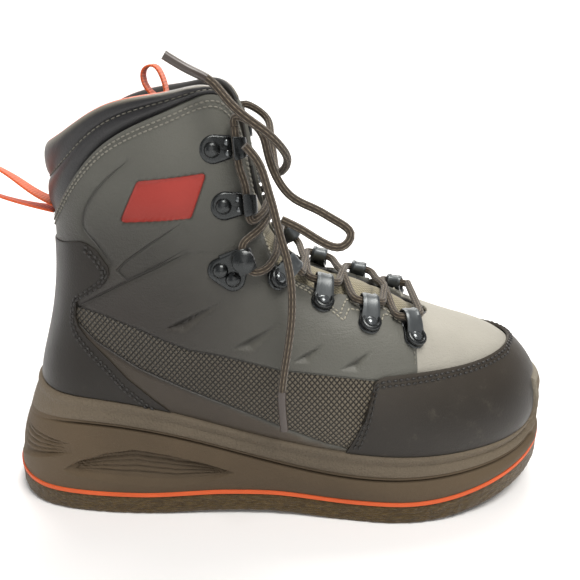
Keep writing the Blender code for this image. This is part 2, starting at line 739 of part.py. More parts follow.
def disc(name, radius, low, high, x=0.0, y=0.0, dome=0.0, steps=9):
    """A round base, or a domed rivet head when dome is set."""
    angle = np.arange(steps) * 2 * math.pi / steps
    levels = [(radius, low), (radius, high)]
    if dome:
        levels += [(radius * 0.80, high + dome * 0.6), (radius * 0.4, high + dome)]
    cosine, sine = np.cos(angle), np.sin(angle)
    rings = [np.column_stack([x + r * cosine, y + r * sine, np.full(steps, z)]) for r, z in levels]
    return loft(name, rings, "metal")


HOOK_LINE = ((-1, 1.3), (8, 1.4), (12, 2.2), (14.2, 4.4), (14, 7.2), (11.6, 8.9), (7.6, 9.4))
LOCK_LINE = ((-1, 1.3), (8, 1.4), (12, 2.0), (14.2, 4.2), (14.4, 7.0), (12.4, 9.2), (9, 10.0), (5.6, 9.6))
LOOP_LINE = ((-1.5, 3.0), (4, 6.2), (8.5, 7.6), (12, 7.0), (13.6, 4.4), (12, 1.7), (8.5, 0.9), (3, 0.9))
LOOP_CHANNEL = (9.7, 4.3)
HOOK_CHANNEL = (10.1, 5.3)
LOCK_CHANNEL = (10.6, 5.9)
LOCK_FRONT = 19.0


def hook_mesh():
    """A speed hook: riveted base, neck and head bent back over the lace."""
    body = strip("hook_shape", HOOK_LINE, 1.3, 9.0, "metal")
    return join(body, disc("base", 6.2, 0.3, 2.3), disc("rivet", 3.6, 2.0, 2.6, dome=1.7)).data


def lock_mesh():
    """The lower lock hook, wider and held by two rivets."""
    body = strip("lock_shape", LOCK_LINE, 1.4, 11.0, "metal")
    rivets = [disc("rivet", 3.7, 2.0, 2.6, x=x, y=y, dome=1.9) for x, y in ((-3.0, -1.5), (1.5, -8.0))]
    bases = [disc("base", 6.0, 0.3, 2.3, x=x, y=y) for x, y in ((-3.0, -1.5), (1.5, -8.0))]
    return join(body, *bases, *rivets).data


def loop_mesh():
    """A lace loop: a folded strap riveted to the eyestay, open along the lace."""
    body = strip("loop_shape", LOOP_LINE, 1.2, 8.6, "metal")
    return join(body, disc("base", 6.0, 0.3, 1.6, x=-1), disc("rivet", 3.6, 1.4, 4.2, x=-2, dome=1.0)).data


def hardware_places():
    """Name, kind and seat of each piece of lacing hardware."""
    places = []
    for side, word in ((-1, "lateral"), (1, "medial")):
        for i, (rivet, aim) in enumerate(zip(LOOP_RIVETS, LOOP_AIM), 1):
            reach = 15.0 if i == len(LOOP_RIVETS) else 11.0
            places.append((f"lace_loop_{word}_{i}", "loop", seat_frame(*rivet, side, aim, reach)))
        places.append((f"lock_hook_{word}", "lock", seat_frame(*LOCK_RIVET, side, LOCK_AIM, 11.0)))
        for i, rivet in enumerate(HOOK_RIVETS, 1):
            places.append((f"hook_{word}_{i}", "hook", seat_frame(*rivet, side, HOOK_AIM, 7.0)))
    return places


def hardware():
    """Places every loop and hook on the upper; each kind shares one mesh."""
    meshes = {"loop": loop_mesh(), "lock": lock_mesh(), "hook": hook_mesh()}
    for shape in list(bpy.data.objects):
        if shape.name.endswith("_shape"):
            bpy.data.objects.remove(shape)
    for name, kind, seat in hardware_places():
        piece = bpy.data.objects.new(name, meshes[kind])
        matrix = seat.copy()
        matrix.translation = seat.translation * MM
        piece.matrix_world = matrix
        bpy.context.scene.collection.objects.link(piece)


def smooth_route(points, spacing):
    """Even points on a smooth curve through a route's own points."""
    points = np.array(points, float)
    knots = np.concatenate([[0], np.cumsum(np.linalg.norm(np.diff(points, axis=0), axis=1))])
    fine = cubic_weights(knots, np.linspace(0, knots[-1], 400), False) @ points
    length = np.concatenate([[0], np.cumsum(np.linalg.norm(np.diff(fine, axis=0), axis=1))])
    even = np.linspace(0, length[-1], max(4, round(length[-1] / spacing) + 1))
    return np.column_stack([np.interp(even, length, fine[:, i]) for i in range(3)])


def cord(name, points, colour="lace"):
    """A cord's plain tube: a curve with round section and filled ends."""
    curve = bpy.data.curves.new(name, "CURVE")
    curve.dimensions = "3D"
    curve.bevel_depth = LACE_RADIUS * MM
    curve.bevel_resolution = 2
    curve.use_fill_caps = True
    line = curve.splines.new("POLY")
    line.points.add(len(points) - 1)
    for target, place in zip(line.points, points):
        target.co = (*(place * MM), 1)
    curve.materials.append(material(colour))
    tube = bpy.data.objects.new(name, curve)
    bpy.context.scene.collection.objects.link(tube)
    return tube


def channel_points(seat, channel):
    """Where the lace enters and leaves a loop or a hook's neck, from the toe side up. It comes to
    the lock hook round the front of its head."""
    x, z = channel
    spread = 10 if channel == HOOK_CHANNEL else 8
    points = [(np.array(seat @ Vector((x, y, z))), y) for y in (-spread, spread)]
    (low, low_y), (high, _) = sorted(points, key=lambda p: p[0][2] - 0.6 * p[0][0])
    if channel == LOCK_CHANNEL:
        return [np.array(seat @ Vector((LOCK_FRONT, low_y * 1.1, z))), low, high]
    return [low, high]


def push_clear(points, need):
    """Points moved outward until they are clear of the tongue."""
    front, normal = (grid.reshape(-1, 3) for grid in tongue_face(49, 25))
    for _ in range(4):
        apart = points[:, None] - front[None]
        nearest = np.argmin((apart**2).sum(axis=2), axis=1)
        height = (apart[np.arange(len(points)), nearest] * normal[nearest]).sum(axis=1)
        points = points + normal[nearest] * np.clip(need - height, 0, None)[:, None]
    return points


def edge_point(start, end):
    """Where the lace between two points passes over the quarter's front edge, on the start's side."""
    u = np.linspace(station(4), station(5.6), 60)
    u = u if start[1] < 0 else 1 - u
    edge, out = last_point(u, 1.0), last_normal(u, 1.0)
    forward = edge - last_point(u, 0.97)
    forward /= np.linalg.norm(forward, axis=1, keepdims=True)
    share = np.linspace(0, 1, 40)[:, None, None]
    away = np.linalg.norm(start + (end - start) * share - edge[None], axis=2).min(axis=0)
    nearest = np.argmin(away)
    return edge[nearest] + (out[nearest] + forward[nearest]) * (LACE_RADIUS + EDGE_CLEARANCE)


def over_quarter(start, end):
    """Points of the lace from a hook to the quarter's front edge, clear of the quarter's face."""
    edge = edge_point(start, end)
    middle = (start + edge) / 2
    nearest = np.argmin(((FACE_POINTS - middle) ** 2).sum(axis=1))
    height = (middle - FACE_POINTS[nearest]) @ FACE_NORMALS[nearest]
    middle = middle + FACE_NORMALS[nearest] * max(0, LACE_RADIUS + EDGE_CLEARANCE - height)
    return [middle, edge]


def crossing(start, end, over_start=False, over_end=False):
    """Points of the lace between two pieces of hardware, arched over the tongue."""
    first = over_quarter(start, end) if over_start else []
    last = over_quarter(end, start) if over_end else []
    begin, finish = (first or [start])[-1], (last or [end])[-1]
    share = np.arange(1, 5)[:, None] / 5
    arch = push_clear(begin + (finish - begin) * share, LACE_RADIUS + 1.5)
    return [*first, *arch, *last[::-1]]


def lace_routes():
    """The route of each half of the lace, from the lowest bar up to the top hooks."""
    seats = {name: (kind, seat) for name, kind, seat in hardware_places()}
    channels = {"loop": LOOP_CHANNEL, "lock": LOCK_CHANNEL, "hook": HOOK_CHANNEL}
    order = ("lace_loop_{}_1", "lace_loop_{}_2", "lace_loop_{}_3", "lace_loop_{}_4", "lock_hook_{}", "hook_{}_1")
    routes = []
    for sides in (("lateral", "medial") * 3, ("medial", "lateral") * 3):
        route, before = [], None
        for pattern, side in zip(order, sides):
            kind, seat = seats[pattern.format(side)]
            points = channel_points(seat, channels[kind])
            if route:
                route += crossing(route[-1], points[0], before != "loop", kind != "loop")
            route += points
            before = kind
        _, seat = seats[f"hook_{sides[5]}_2"]
        routes.append([*route, *channel_points(seat, HOOK_CHANNEL)])
    start = routes[1][0] + [0.5, 0, 0.5]
    routes[0] = [start, *crossing(start, routes[0][0]), *routes[0]]
    return [np.array(route) for route in routes]


def lace_crossings():
    """The lace through loops and hooks, joined where its two halves cross over the tongue."""
    halves = []
    for name, route in zip(("lace_crossings", "lace_second_half"), lace_routes()):
        tube = cord(name, route)
        bpy.context.view_layer.update()
        mesh = bpy.data.meshes.new_from_object(tube.evaluated_get(bpy.context.evaluated_depsgraph_get()))
        bpy.data.objects.remove(tube)
        halves.append(bpy.data.objects.new(name, mesh))
        bpy.context.scene.collection.objects.link(halves[-1])
    join(*halves)


# Loose ends of the lace, as points from the top hooks or from the knot outward
BOW_LOOP = (
    (104, -42, 214), (108, -40.5, 204), (112, -38, 191), (121, -37, 179), (132, -40, 174), (142, -44, 169),
    (149, -48, 163), (145, -51, 158), (136, -49, 159), (125, -45.5, 165), (115, -45, 170),
)
END_DOWN = (
    (98, -51, 207), (104, -49.5, 199), (108, -47.5, 187), (111, -46.5, 176), (114, -49.5, 164),
    (117, -52, 154), (120, -56, 131), (119, -60, 116), (116, -63, 96), (115, -64, 88), (116, -65, 64),
)
END_UP = (
    (104, 37, 213), (109, 26, 204), (111, 9, 192), (113, -9, 187), (117, -24, 192), (118, -34, 198), (115, -44, 205),
    (108, -51, 213), (99, -54, 220), (91, -51, 227), (82, -46, 236), (74, -45, 240), (62, -46, 247),
)


def loose_ends():
    """The bow's loop, the end that hangs down and the one that stands up."""
    medial, lateral = lace_routes()
    for name, points, half in (("lace_bow_loop", BOW_LOOP, lateral), ("lace_end_up", END_UP, medial)):
        onward = (half[-1] - half[-2]) / np.linalg.norm(half[-1] - half[-2])
        start = half[-1] + onward * GAP
        cord(name, [start, *smooth_route([start + onward * 3, *np.array(points) * SCALE], 8.0)])
    cord("lace_end_down", smooth_route(np.array(END_DOWN) * SCALE, 9.0))


def webbing_loop(name, line, width, thickness, lean=0.0, twist=0.0):
    """A pull loop of webbing: a closed strip along x and z points, its width along Y."""
    line = np.array(line, float)
    points = smooth_route(line, 4.5)
    tangent = np.gradient(points, axis=0)
    tangent /= np.linalg.norm(tangent, axis=1, keepdims=True)
    reach = np.linspace(-1, 1, len(points))
    rings = []
    for place, direction, share in zip(points, tangent, reach):
        turn = math.radians(twist) * (1 - share**2)
        sideways = np.array([math.sin(lean), math.cos(turn), -math.sin(turn)])
        sideways -= direction * sideways.dot(direction)
        sideways /= np.linalg.norm(sideways)
        out = np.cross(direction, sideways)
        corners = ((-1, -1), (1, -1), (1, 1), (-1, 1))
        half = sideways * width / 2, out * thickness / 2
        rings.append(np.array([place + half[0] * a + half[1] * b for a, b in corners]))
    return loft(name, rings, "orange", smooth_angle=50)


def pull_loops():
    """The long pull loop at the heel and the short one on the tongue's top."""
    heel = ((-8.3, 0, 165.4), (-24, 0, 168.5), (-42, 0, 174), (-58, 0, 182), (-65, 0, 190),
            (-61, 0, 197), (-46, 0, 193), (-30, 0, 183), (-18, 0, 174), (-8.3, 0, 169.0))
    webbing_loop("heel_pull_loop", np.array(heel) * SCALE, 15.0, 1.4, twist=20)
    top = ((50, 2, 224.6), (45.5, 2, 229), (43.5, 2, 234), (45, 2, 239.5), (49.5, 2, 240.5), (53, 2, 236),
           (54.5, 2, 231), (55.2, 2, 225.2))
    webbing_loop("tongue_pull_loop", np.array(top) * SCALE, 13.0, 1.3)


def main():
    for old in list(bpy.data.objects):
        bpy.data.objects.remove(old)
    felt_outsole()
    orange_wedge()
    midsole()
    insole()
    upper()
    collar()
    toe_rand()
    heel_counter()
    tongue()
    hardware()
    lace_crossings()
    loose_ends()
    pull_loops()


main()
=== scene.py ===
"""Dresses the CAD solids of a right wading boot with its finished leather, felt, lace and metal.

Frame: the origin is the centre of the heel on the floor, +X points to the toe, +Y to the medial
side and +Z up. Tables are in millimetres; a mesh is scaled to metres when it is made.
"""

import math

import bpy
import numpy as np
from mathutils import Matrix, Vector, noise


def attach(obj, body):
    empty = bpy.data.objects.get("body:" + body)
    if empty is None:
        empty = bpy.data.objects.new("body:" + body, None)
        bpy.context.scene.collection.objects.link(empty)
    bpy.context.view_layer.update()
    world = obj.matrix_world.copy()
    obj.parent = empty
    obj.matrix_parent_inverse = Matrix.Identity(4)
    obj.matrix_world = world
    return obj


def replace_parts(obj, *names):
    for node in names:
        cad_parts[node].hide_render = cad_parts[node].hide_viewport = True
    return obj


bl_info = {
    "name": "Wading boot",
    "version": (1, 0, 0),
    "blender": (4, 2, 0),
    "location": "3D View > Sidebar > Boot",
    "description": "Builds the visible pieces of a laced wading boot with a felt sole",
    "category": "Add Mesh",
}

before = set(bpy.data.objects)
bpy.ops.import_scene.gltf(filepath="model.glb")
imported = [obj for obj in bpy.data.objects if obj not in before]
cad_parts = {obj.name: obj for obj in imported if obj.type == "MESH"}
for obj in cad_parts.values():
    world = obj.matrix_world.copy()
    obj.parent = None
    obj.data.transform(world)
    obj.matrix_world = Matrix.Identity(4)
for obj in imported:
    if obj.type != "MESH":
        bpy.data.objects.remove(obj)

MM = 0.001


# Driving dimensions, in millimetres
SOLE_LENGTH = 317.0
BALL_WIDTH = 110.0
COLLAR_HEIGHT = 231.0
WALL = 2.6
GAP = 0.3
OVERLAY_GAP = 0.85
FELT_THICKNESS = 11.5
WEDGE_THICKNESS = 1.7
TOE_SPRING = 17.0
ARCH_LIFT = 2.0
LACE_RADIUS = 2.1
EDGE_CLEARANCE = 4.0

# The size that the tables below are drawn for
TABLE_LENGTH = 317.0
TABLE_BALL = 110.0
TABLE_COLLAR = 231.0
SCALE = np.array([SOLE_LENGTH / TABLE_LENGTH, BALL_WIDTH / TABLE_BALL, COLLAR_HEIGHT / TABLE_COLLAR])
STATIONS = (
    "heel_back", "heel_quarter", "heel_side", "ankle", "waist",
    "joint", "ball", "toe_side", "toe_corner", "toe_tip",
)

# One row for each station: x, half width to the lateral side, half width to the medial side
OUTLINE = (
    (-44, 0, 0),
    (-31, 30, 29),
    (8, 45.5, 41),
    (55, 48.5, 39),
    (104, 49, 37.5),
    (142, 54, 44),
    (182, 59, 51),
    (226, 49, 51),
    (258, 27, 36),
    (273, 0, 0),
)
OUTLINE_TIP_Y = 6

# The sections of the upper, level by level: x, lateral, medial, z for each station
SEAT = (
    (-23, 0, 0, 42), (-12, 25, 24, 42), (16, 36, 34, 41), (55, 36, 33, 38), (100, 38, 31, 33),
    (140, 46, 40, 30), (180, 50, 45, 30), (221, 40, 43, 32), (248, 23, 29, 35), (261, 0, 0, 37),
)
SWELL = (
    (-24, 0, 0, 64), (-13, 27, 25, 64), (16, 38.5, 36, 63), (55, 42, 38, 59), (99, 45, 38, 51),
    (139, 52, 46, 46), (180, 55, 50, 45), (224, 45, 47, 46), (254, 26, 32, 49), (267, 0, 0, 52),
)
MIDDLE = (
    (-16, 0, 0, 99), (-7, 24.5, 23, 99), (17, 36, 35, 98), (54, 43, 42, 98), (88, 46, 42, 96),
    (130, 51, 46, 82), (173, 52, 48, 74), (215, 40, 41, 77), (243, 23, 26, 80), (256, 0, 0, 80),
)
UPPER = (
    (-8, 0, 0, 142), (1, 23, 22.5, 143), (20, 35, 34, 146), (56, 41, 39, 152), (89, 38, 36, 154),
    (119, 40, 38, 120), (162, 41, 38, 105), (204, 28.5, 29, 98), (223, 15, 16, 97), (231, 0, 0, 97),
)
TOP_LINE = (
    (-9, 0, 0, 202), (4, 23, 22.5, 209), (31, 36, 35, 224), (66, 40, 38, 231), (94, 27.5, 26.5, 215),
    (109, 25.5, 25, 146), (150, 22.5, 22, 121.5), (186, 17, 17, 108), (197, 8, 8, 105.5), (200, 0, 0, 105),
)
LEVELS = (SEAT, SWELL, MIDDLE, UPPER, TOP_LINE)
LEVEL_TIP_Y = (5, 5, 4, 3, 2)

# Heights and margins that change along the boot, one value for each station
RIM_HEIGHT = (72, 71, 69, 63, 51, 45, 41.5, 41, 44, 46)
LEDGE_HEIGHT = (49, 53, 55, 49, 36, 29, 27, 28.5, 33, 37)
COLLAR_DROP = (40, 34, 20, 8, 1.2, 0, 0, 0, 0, 0)
RAND_HEIGHT = (84, 84, 84, 84, 84, 84, 86, 86, 88, 88)

# Toe bumper: how far the rim rises over the toe tip, and how wide it is in stations
BUMPER_RISE = 23.0
BUMPER_HALF = 0.72
BUMPER_EDGE = 0.26
COUNTER_THICKNESS = 1.5

# Toe rand: x and z of the lower and upper end of its rear edge
RAND_REAR_LOW = (149, 46)
RAND_REAR_HIGH = (161, 84)
RAND_THICKNESS = 1.5
RAND_MARGIN = 0.07
RAND_WIDTH = 40.0

# Its grid, and how long u and v are over the upper in millimetres
RAND_ROWS = 26
RAND_COLUMNS = 240
U_LENGTH = 760
V_LENGTH = 190

# Its rounded rear corner: share of the rand's length, and how far the edge drops there
RAND_CORNER = 0.04
RAND_CORNER_DROP = 7.0

# Lacing hardware: x and z of each rivet, on both sides
LOOP_RIVETS = ((185, 103), (161, 112), (136, 122), (112, 136))
LOCK_RIVET = (86, 145)
HOOK_RIVETS = ((87, 175), (82, 203))

# Direction in which each piece points, as x and z
LOOP_AIM = ((0.10, 1), (0.18, 1), (0.25, 1), (1.0, 0.85))
LOCK_AIM = (1.0, 0.35)
HOOK_AIM = (1.0, 0.08)

# Tongue above the throat: x and z of the middle of its front face, half width and crown
TONGUE_LEAN = (
    (103, 167, 25.0, 7.0), (95, 184, 26.5, 7.0), (83, 201, 27.0, 7.0),
    (69, 215, 26.5, 6.5), (53, 226, 25.0, 6.0),
)
TONGUE_THICKNESS = 5.0
NOTCH_DEPTH = 6.0
NOTCH_HALF = 0.0085


def cubic_weights(knots, at, closed):
    """Weights of a cubic spline through one value at each knot. A closed one has one more knot."""
    knots = np.asarray(knots, float)
    at = np.atleast_1d(np.asarray(at, float))
    count = len(knots) - 1 if closed else len(knots)
    bend, load = np.zeros((count, count)), np.zeros((count, count))
    step = np.diff(knots)
    for i in range(count):
        if not closed and i in (0, count - 1):
            bend[i, i] = 1
            continue
        before, after = step[i - 1], step[i]
        last, following = (i - 1) % count, (i + 1) % count
        bend[i, last] += before / 6
        bend[i, i] += (before + after) / 3
        bend[i, following] += after / 6
        load[i, following] += 1 / after
        load[i, i] -= 1 / after + 1 / before
        load[i, last] += 1 / before
    bending = np.linalg.solve(bend, load)
    if closed:
        at = knots[0] + (at - knots[0]) % (knots[-1] - knots[0])
    cell = np.clip(np.searchsorted(knots, at, side="right") - 1, 0, len(step) - 1)
    width = step[cell]
    a = (knots[cell + 1] - at) / width
    b = 1 - a
    rows = np.arange(len(at))
    weights = np.zeros((len(at), count))
    weights[rows, cell % count] += a
    weights[rows, (cell + 1) % count] += b
    weights += ((a**3 - a) * width**2 / 6)[:, None] * bending[cell % count]
    weights += ((b**3 - b) * width**2 / 6)[:, None] * bending[(cell + 1) % count]
    return weights


def distances(points):
    """How far along a line each of its points is."""
    return np.concatenate([[0], np.cumsum(np.linalg.norm(np.diff(points, axis=0), axis=1))])


def read_at(places, distance, points):
    """Points at the given places along a line, from the distances of its own points."""
    return np.column_stack([np.interp(places, distance, points[:, i]) for i in range(3)])


def ring_points(rows, tip_y):
    """The closed ring of one table, from the heel back along the lateral side, round the toe and back."""
    tip = (rows[-1][0], tip_y, *rows[-1][3:])
    lateral = [(r[0], -r[1], *r[3:]) for r in rows[1:-1]]
    medial = [(r[0], r[2], *r[3:]) for r in reversed(rows[1:-1])]
    return np.array([(rows[0][0], 0, *rows[0][3:]), *lateral, tip, *medial], float)


def station_knots():
    """How far round each station is, from 0 at the heel back to 1, the same on both sides."""
    ring = ring_points(OUTLINE, OUTLINE_TIP_Y)
    chord = np.linalg.norm(np.diff(np.vstack([ring, ring[:1]]), axis=0), axis=1)
    chord = (chord + chord[::-1]) / 2
    return np.concatenate([[0], np.cumsum(chord)]) / chord.sum()


KNOTS = station_knots()
NET = np.array([ring_points(rows, tip) for rows, tip in zip(LEVELS, LEVEL_TIP_Y)]) * SCALE
RISE = np.linalg.norm(np.diff(NET, axis=0), axis=2).mean(axis=1)
LEVEL_KNOTS = np.concatenate([[0], np.cumsum(RISE)]) / RISE.sum()


def station(index):
    """How far round a station is on the lateral side; between two stations the index has a fraction."""
    return float(np.interp(index, range(len(STATIONS)), KNOTS[: len(STATIONS)]))


def station_index(u):
    """Which station u is at, the same on both sides; between two stations it has a fraction."""
    folded = 0.5 - np.abs(np.atleast_1d(u) % 1 - 0.5)
    return np.interp(folded, KNOTS[: len(STATIONS)], range(len(STATIONS)))


def on_side(u, side):
    """u on the lateral side, or its mirror image where side is positive."""
    return u if side < 0 else 1 - u


def along(values, u):
    """A value given at each station, smoothed and the same on both sides, read at u."""
    ring = np.array([*values, *values[-2:0:-1]], float)
    return cubic_weights(KNOTS, u, True) @ ring


def last_point(u, v):
    """Points of the upper's outer face, u round the boot and v from its seat to its top line."""
    u, v = np.broadcast_arrays(np.atleast_1d(u).astype(float), v)
    around, up = cubic_weights(KNOTS, u, True), cubic_weights(LEVEL_KNOTS, v, False)
    return np.einsum("ns,nl,lsc->nc", around, up, NET)


def last_normal(u, v):
    """Outward normals of the upper's face."""
    u, v = np.broadcast_arrays(np.atleast_1d(u).astype(float), v)
    step = 1e-3
    low, high = np.clip(v - step, 0, 1), np.clip(v + step, 0, 1)
    across = last_point(u + step, v) - last_point(u - step, v)
    upward = last_point(u, high) - last_point(u, low)
    normal = np.cross(across, upward)
    return normal / np.linalg.norm(normal, axis=1, keepdims=True)


def last_offset(u, v, distance):
    """The upper's face moved outward by a distance."""
    return last_point(u, v) + last_normal(u, v) * np.reshape(distance, (-1, 1))


def v_at_height(u, height):
    """v of the point at a height, on each column u."""
    u = np.atleast_1d(u).astype(float)
    low, high = np.zeros(len(u)), np.ones(len(u))
    target = np.broadcast_to(np.asarray(height, float) * SCALE[2], u.shape)
    for _ in range(30):
        middle = (low + high) / 2
        below = last_point(u, middle)[:, 2] < target
        low, high = np.where(below, middle, low), np.where(below, high, middle)
    return (low + high) / 2


def v_below_top(u, drop):
    """v of the point that lies a drop below the top line, measured along the column."""
    speed = np.linalg.norm(last_point(u, 1.0) - last_point(u, 0.98), axis=1) / 0.02
    return 1 - np.asarray(drop) / speed


FACE_U, FACE_V = (g.ravel() for g in np.meshgrid(np.linspace(0, 1, 361), np.linspace(0, 1, 81)))
FACE_POINTS, FACE_NORMALS = last_point(FACE_U, FACE_V), last_normal(FACE_U, FACE_V)


def locate(x, z):
    """u and v, on the lateral side, of the point that a side view shows at x and z."""
    target = np.array([x * SCALE[0], z * SCALE[2]])
    away = ((FACE_POINTS[:, [0, 2]] - target) ** 2).sum(axis=1) + 1e6 * (FACE_U > 0.5)
    nearest = np.argmin(away)
    uv = np.array([FACE_U[nearest], FACE_V[nearest]])
    for _ in range(8):
        here = last_point(uv[0], uv[1])[0, [0, 2]]
        step_u = last_point(uv[0] + 1e-4, uv[1])[0, [0, 2]] - here
        step_v = last_point(uv[0], uv[1] + 1e-4)[0, [0, 2]] - here
        move = np.linalg.lstsq(np.column_stack([step_u, step_v]) / 1e-4, target - here, rcond=None)[0]
        uv = np.clip(uv + np.clip(move, -0.02, 0.02), [0, 0], [0.5, 1])
    return uv


def smooth_step(value, low, high):
    """0 below low and 1 above high, with a soft ramp."""
    t = np.clip((np.asarray(value, float) - low) / (high - low), 0, 1)
    return t * t * (3 - 2 * t)


def toe_distance(u):
    """Stations between u and the toe tip."""
    return len(STATIONS) - 1 - station_index(u)


def rim_height(u, margin=0.0):
    """Height of the midsole's rim, with the bumper that rises over the toe, wider by a margin."""
    half = BUMPER_HALF + margin
    bumper = 1 - smooth_step(toe_distance(u), half - BUMPER_EDGE / 2, half + BUMPER_EDGE / 2)
    return along(RIM_HEIGHT, u) + BUMPER_RISE * bumper


def floor_rise(x):
    """How far the felt's underside is above the floor: toe spring, arch and rounded heel."""
    x = np.asarray(x, float) / SCALE[0]
    toe = TOE_SPRING * np.clip((x - 178) / 95, 0, None) ** 2
    heel = 3.5 * np.clip((-16 - x) / 28, 0, None) ** 2
    arch = ARCH_LIFT * (smooth_step(x, 35, 85) - smooth_step(x, 105, 150))
    return toe + heel + arch


def outline_point(u, margin=0.0):
    """Points of the sole's outline in plan, moved inward by a margin."""
    ring = ring_points(OUTLINE, OUTLINE_TIP_Y) * SCALE[:2]
    here = cubic_weights(KNOTS, u, True) @ ring
    ahead = cubic_weights(KNOTS, np.atleast_1d(u) + 1e-3, True) @ ring
    behind = cubic_weights(KNOTS, np.atleast_1d(u) - 1e-3, True) @ ring
    tangent = (ahead - behind) / np.linalg.norm(ahead - behind, axis=1, keepdims=True)
    inward = np.column_stack([-tangent[:, 1], tangent[:, 0]])
    return here + inward * margin


def sole_ring(u, height, margin):
    """A ring of the sole, at a height above the felt's underside."""
    plan = outline_point(u, margin)
    return np.column_stack([plan, floor_rise(plan[:, 0]) + height])


def notch_places():
    """u of each notch in the throat's edge, half way between two lace loops."""
    middles = [np.mean(pair, axis=0) for pair in zip(LOOP_RIVETS, LOOP_RIVETS[1:])]
    return [locate(x + 2, z + 8)[0] for x, z in middles]


NOTCHES = notch_places()


def rim_ring(u, margin, below=0.0):
    """A ring on or beside the upper at the rim's height, moved outward by a margin."""
    height = rim_height(u) - below
    ring = last_offset(u, v_at_height(u, height), margin)
    return np.column_stack([ring[:, :2], height * SCALE[2]])


def ledge_ring(u, above, margin):
    """A ring at the ledge line, between the sole's outline and the rim in plan."""
    plan = (outline_point(u, margin) + rim_ring(u, 3.4)[:, :2]) / 2
    return np.column_stack([plan, along(LEDGE_HEIGHT, u) * SCALE[2] + above])


def lower_wall(u, share):
    """The midsole's side below its ledge, share 0 at the orange layer and 1 at the ledge."""
    base = sole_ring(u, FELT_THICKNESS + WEDGE_THICKNESS + 2 * GAP, 0.6)
    ledge = ledge_ring(u, -0.7, 0.6)
    share = np.reshape(share, (-1, 1))
    wall = base + (ledge - base) * share
    outward = outline_point(u, -1) - outline_point(u, 0)
    wall[:, :2] += outward * 1.6 * 4 * share * (1 - share)
    return wall


def upper_top(u):
    """v of the upper's edge: under the collar, and round the scalloped throat."""
    folded = 0.5 - np.abs(np.atleast_1d(u) % 1 - 0.5)
    drop = np.maximum(along(COLLAR_DROP, u), 0)
    depth = sum(NOTCH_DEPTH * np.clip(1 - np.abs(folded - n) / NOTCH_HALF, 0, 1) for n in NOTCHES)
    return v_below_top(u, drop + depth)


def tongue_sections():
    """Rows of points across the tongue's front face, from under the vamp to its top."""
    depth = WALL + GAP + 0.6
    toe = 0.5
    sections = []
    for v, spread in ((0.90, 0.022), (0.955, 0.022)):
        u = toe + np.linspace(-2, 2, 9) * spread / 2
        sections.append(last_offset(u, v, -depth - 1.8))
    for u in (station(7.6), station(7.0), station(6.5), station(6.0), station(5.6), station(5.2)):
        tuck, edge = v_below_top(u, 9.0), 1.0
        sides = []
        for side in (u, 1 - u):
            sides.append(last_offset(np.array([side, side]), np.array([tuck[0], edge]), -depth))
        lateral, medial = sides
        width = np.linalg.norm(lateral[1] - medial[1])
        middle = (lateral[1] + medial[1]) / 2
        up = last_normal(u, 1.0)[0] + last_normal(1 - u, 1.0)[0]
        up[1] = 0
        crown = middle + up / np.linalg.norm(up) * width * 0.16
        sections.append(arc_through(lateral, crown, medial))
    centre = np.array([(x, 1.0, z) for x, z, _, _ in TONGUE_LEAN]) * SCALE
    before = np.vstack([sections[-1][4][None], centre])
    for i, (_, _, half, crown) in enumerate(TONGUE_LEAN):
        direction = before[min(i + 2, len(before) - 1)] - before[i]
        front = np.array([direction[2], 0, -direction[0]]) / np.hypot(direction[0], direction[2])
        across = np.linspace(-1, 1, 9)
        drop = crown * across**2
        sections.append(centre[i] + np.outer(across * half, [0, 1, 0]) - np.outer(drop, front))
    return np.array(sections)


def arc_through(lateral, crown, medial):
    """Nine points across: tucked edge, throat edge, over the crown, and down the other side."""
    through = np.array([lateral[0], lateral[1], crown, medial[1], medial[0]])
    knots = distances(through)
    return cubic_weights(knots, np.linspace(0, knots[-1], 9), False) @ through


def grid_normals(grid):
    """Unit normals of a grid of points."""
    along_rows, along_columns = np.gradient(grid, axis=0), np.gradient(grid, axis=1)
    normal = np.cross(along_columns, along_rows)
    return normal / np.linalg.norm(normal, axis=2, keepdims=True)


def tongue_face(row_count, column_count):
    """Points and outward normals of the tongue's front face, as a grid of rows from toe to top."""
    coarse = tongue_sections()
    knots = distances(coarse[:, 4])
    rows = cubic_weights(knots, np.linspace(0, knots[-1], row_count), False)
    columns = cubic_weights(np.arange(9), np.linspace(0, 8, column_count), False)
    front = np.einsum("rs,ka,sac->rkc", rows, columns, coarse)
    normal = grid_normals(front)
    return front, normal if normal[row_count // 2, column_count // 2, 2] > 0 else -normal


def seat_frame(x, z, side, aim, reach):
    """Where a riveted piece sits: a matrix with its own X along aim, Z out of the upper. The seat
    is raised to clear the upper's face within its reach."""
    u, v = locate(x, z)
    u = on_side(u, side)
    origin = last_point(u, v)[0]
    out = last_normal(u, v)[0]
    near = (np.linalg.norm(FACE_POINTS - origin, axis=1) < reach) & (FACE_V < upper_top(FACE_U))
    out = FACE_NORMALS[near].mean(axis=0)
    out /= np.linalg.norm(out)
    origin = origin + out * max(0, ((FACE_POINTS[near] - origin) @ out).max())
    towards = np.array([aim[0], 0, aim[1]], float)
    towards -= out * towards.dot(out)
    towards /= np.linalg.norm(towards)
    beside = np.cross(out, towards)
    rows = zip(np.column_stack([towards, beside, out]), origin)
    return Matrix([(*row, p) for row, p in rows] + [(0, 0, 0, 1)])


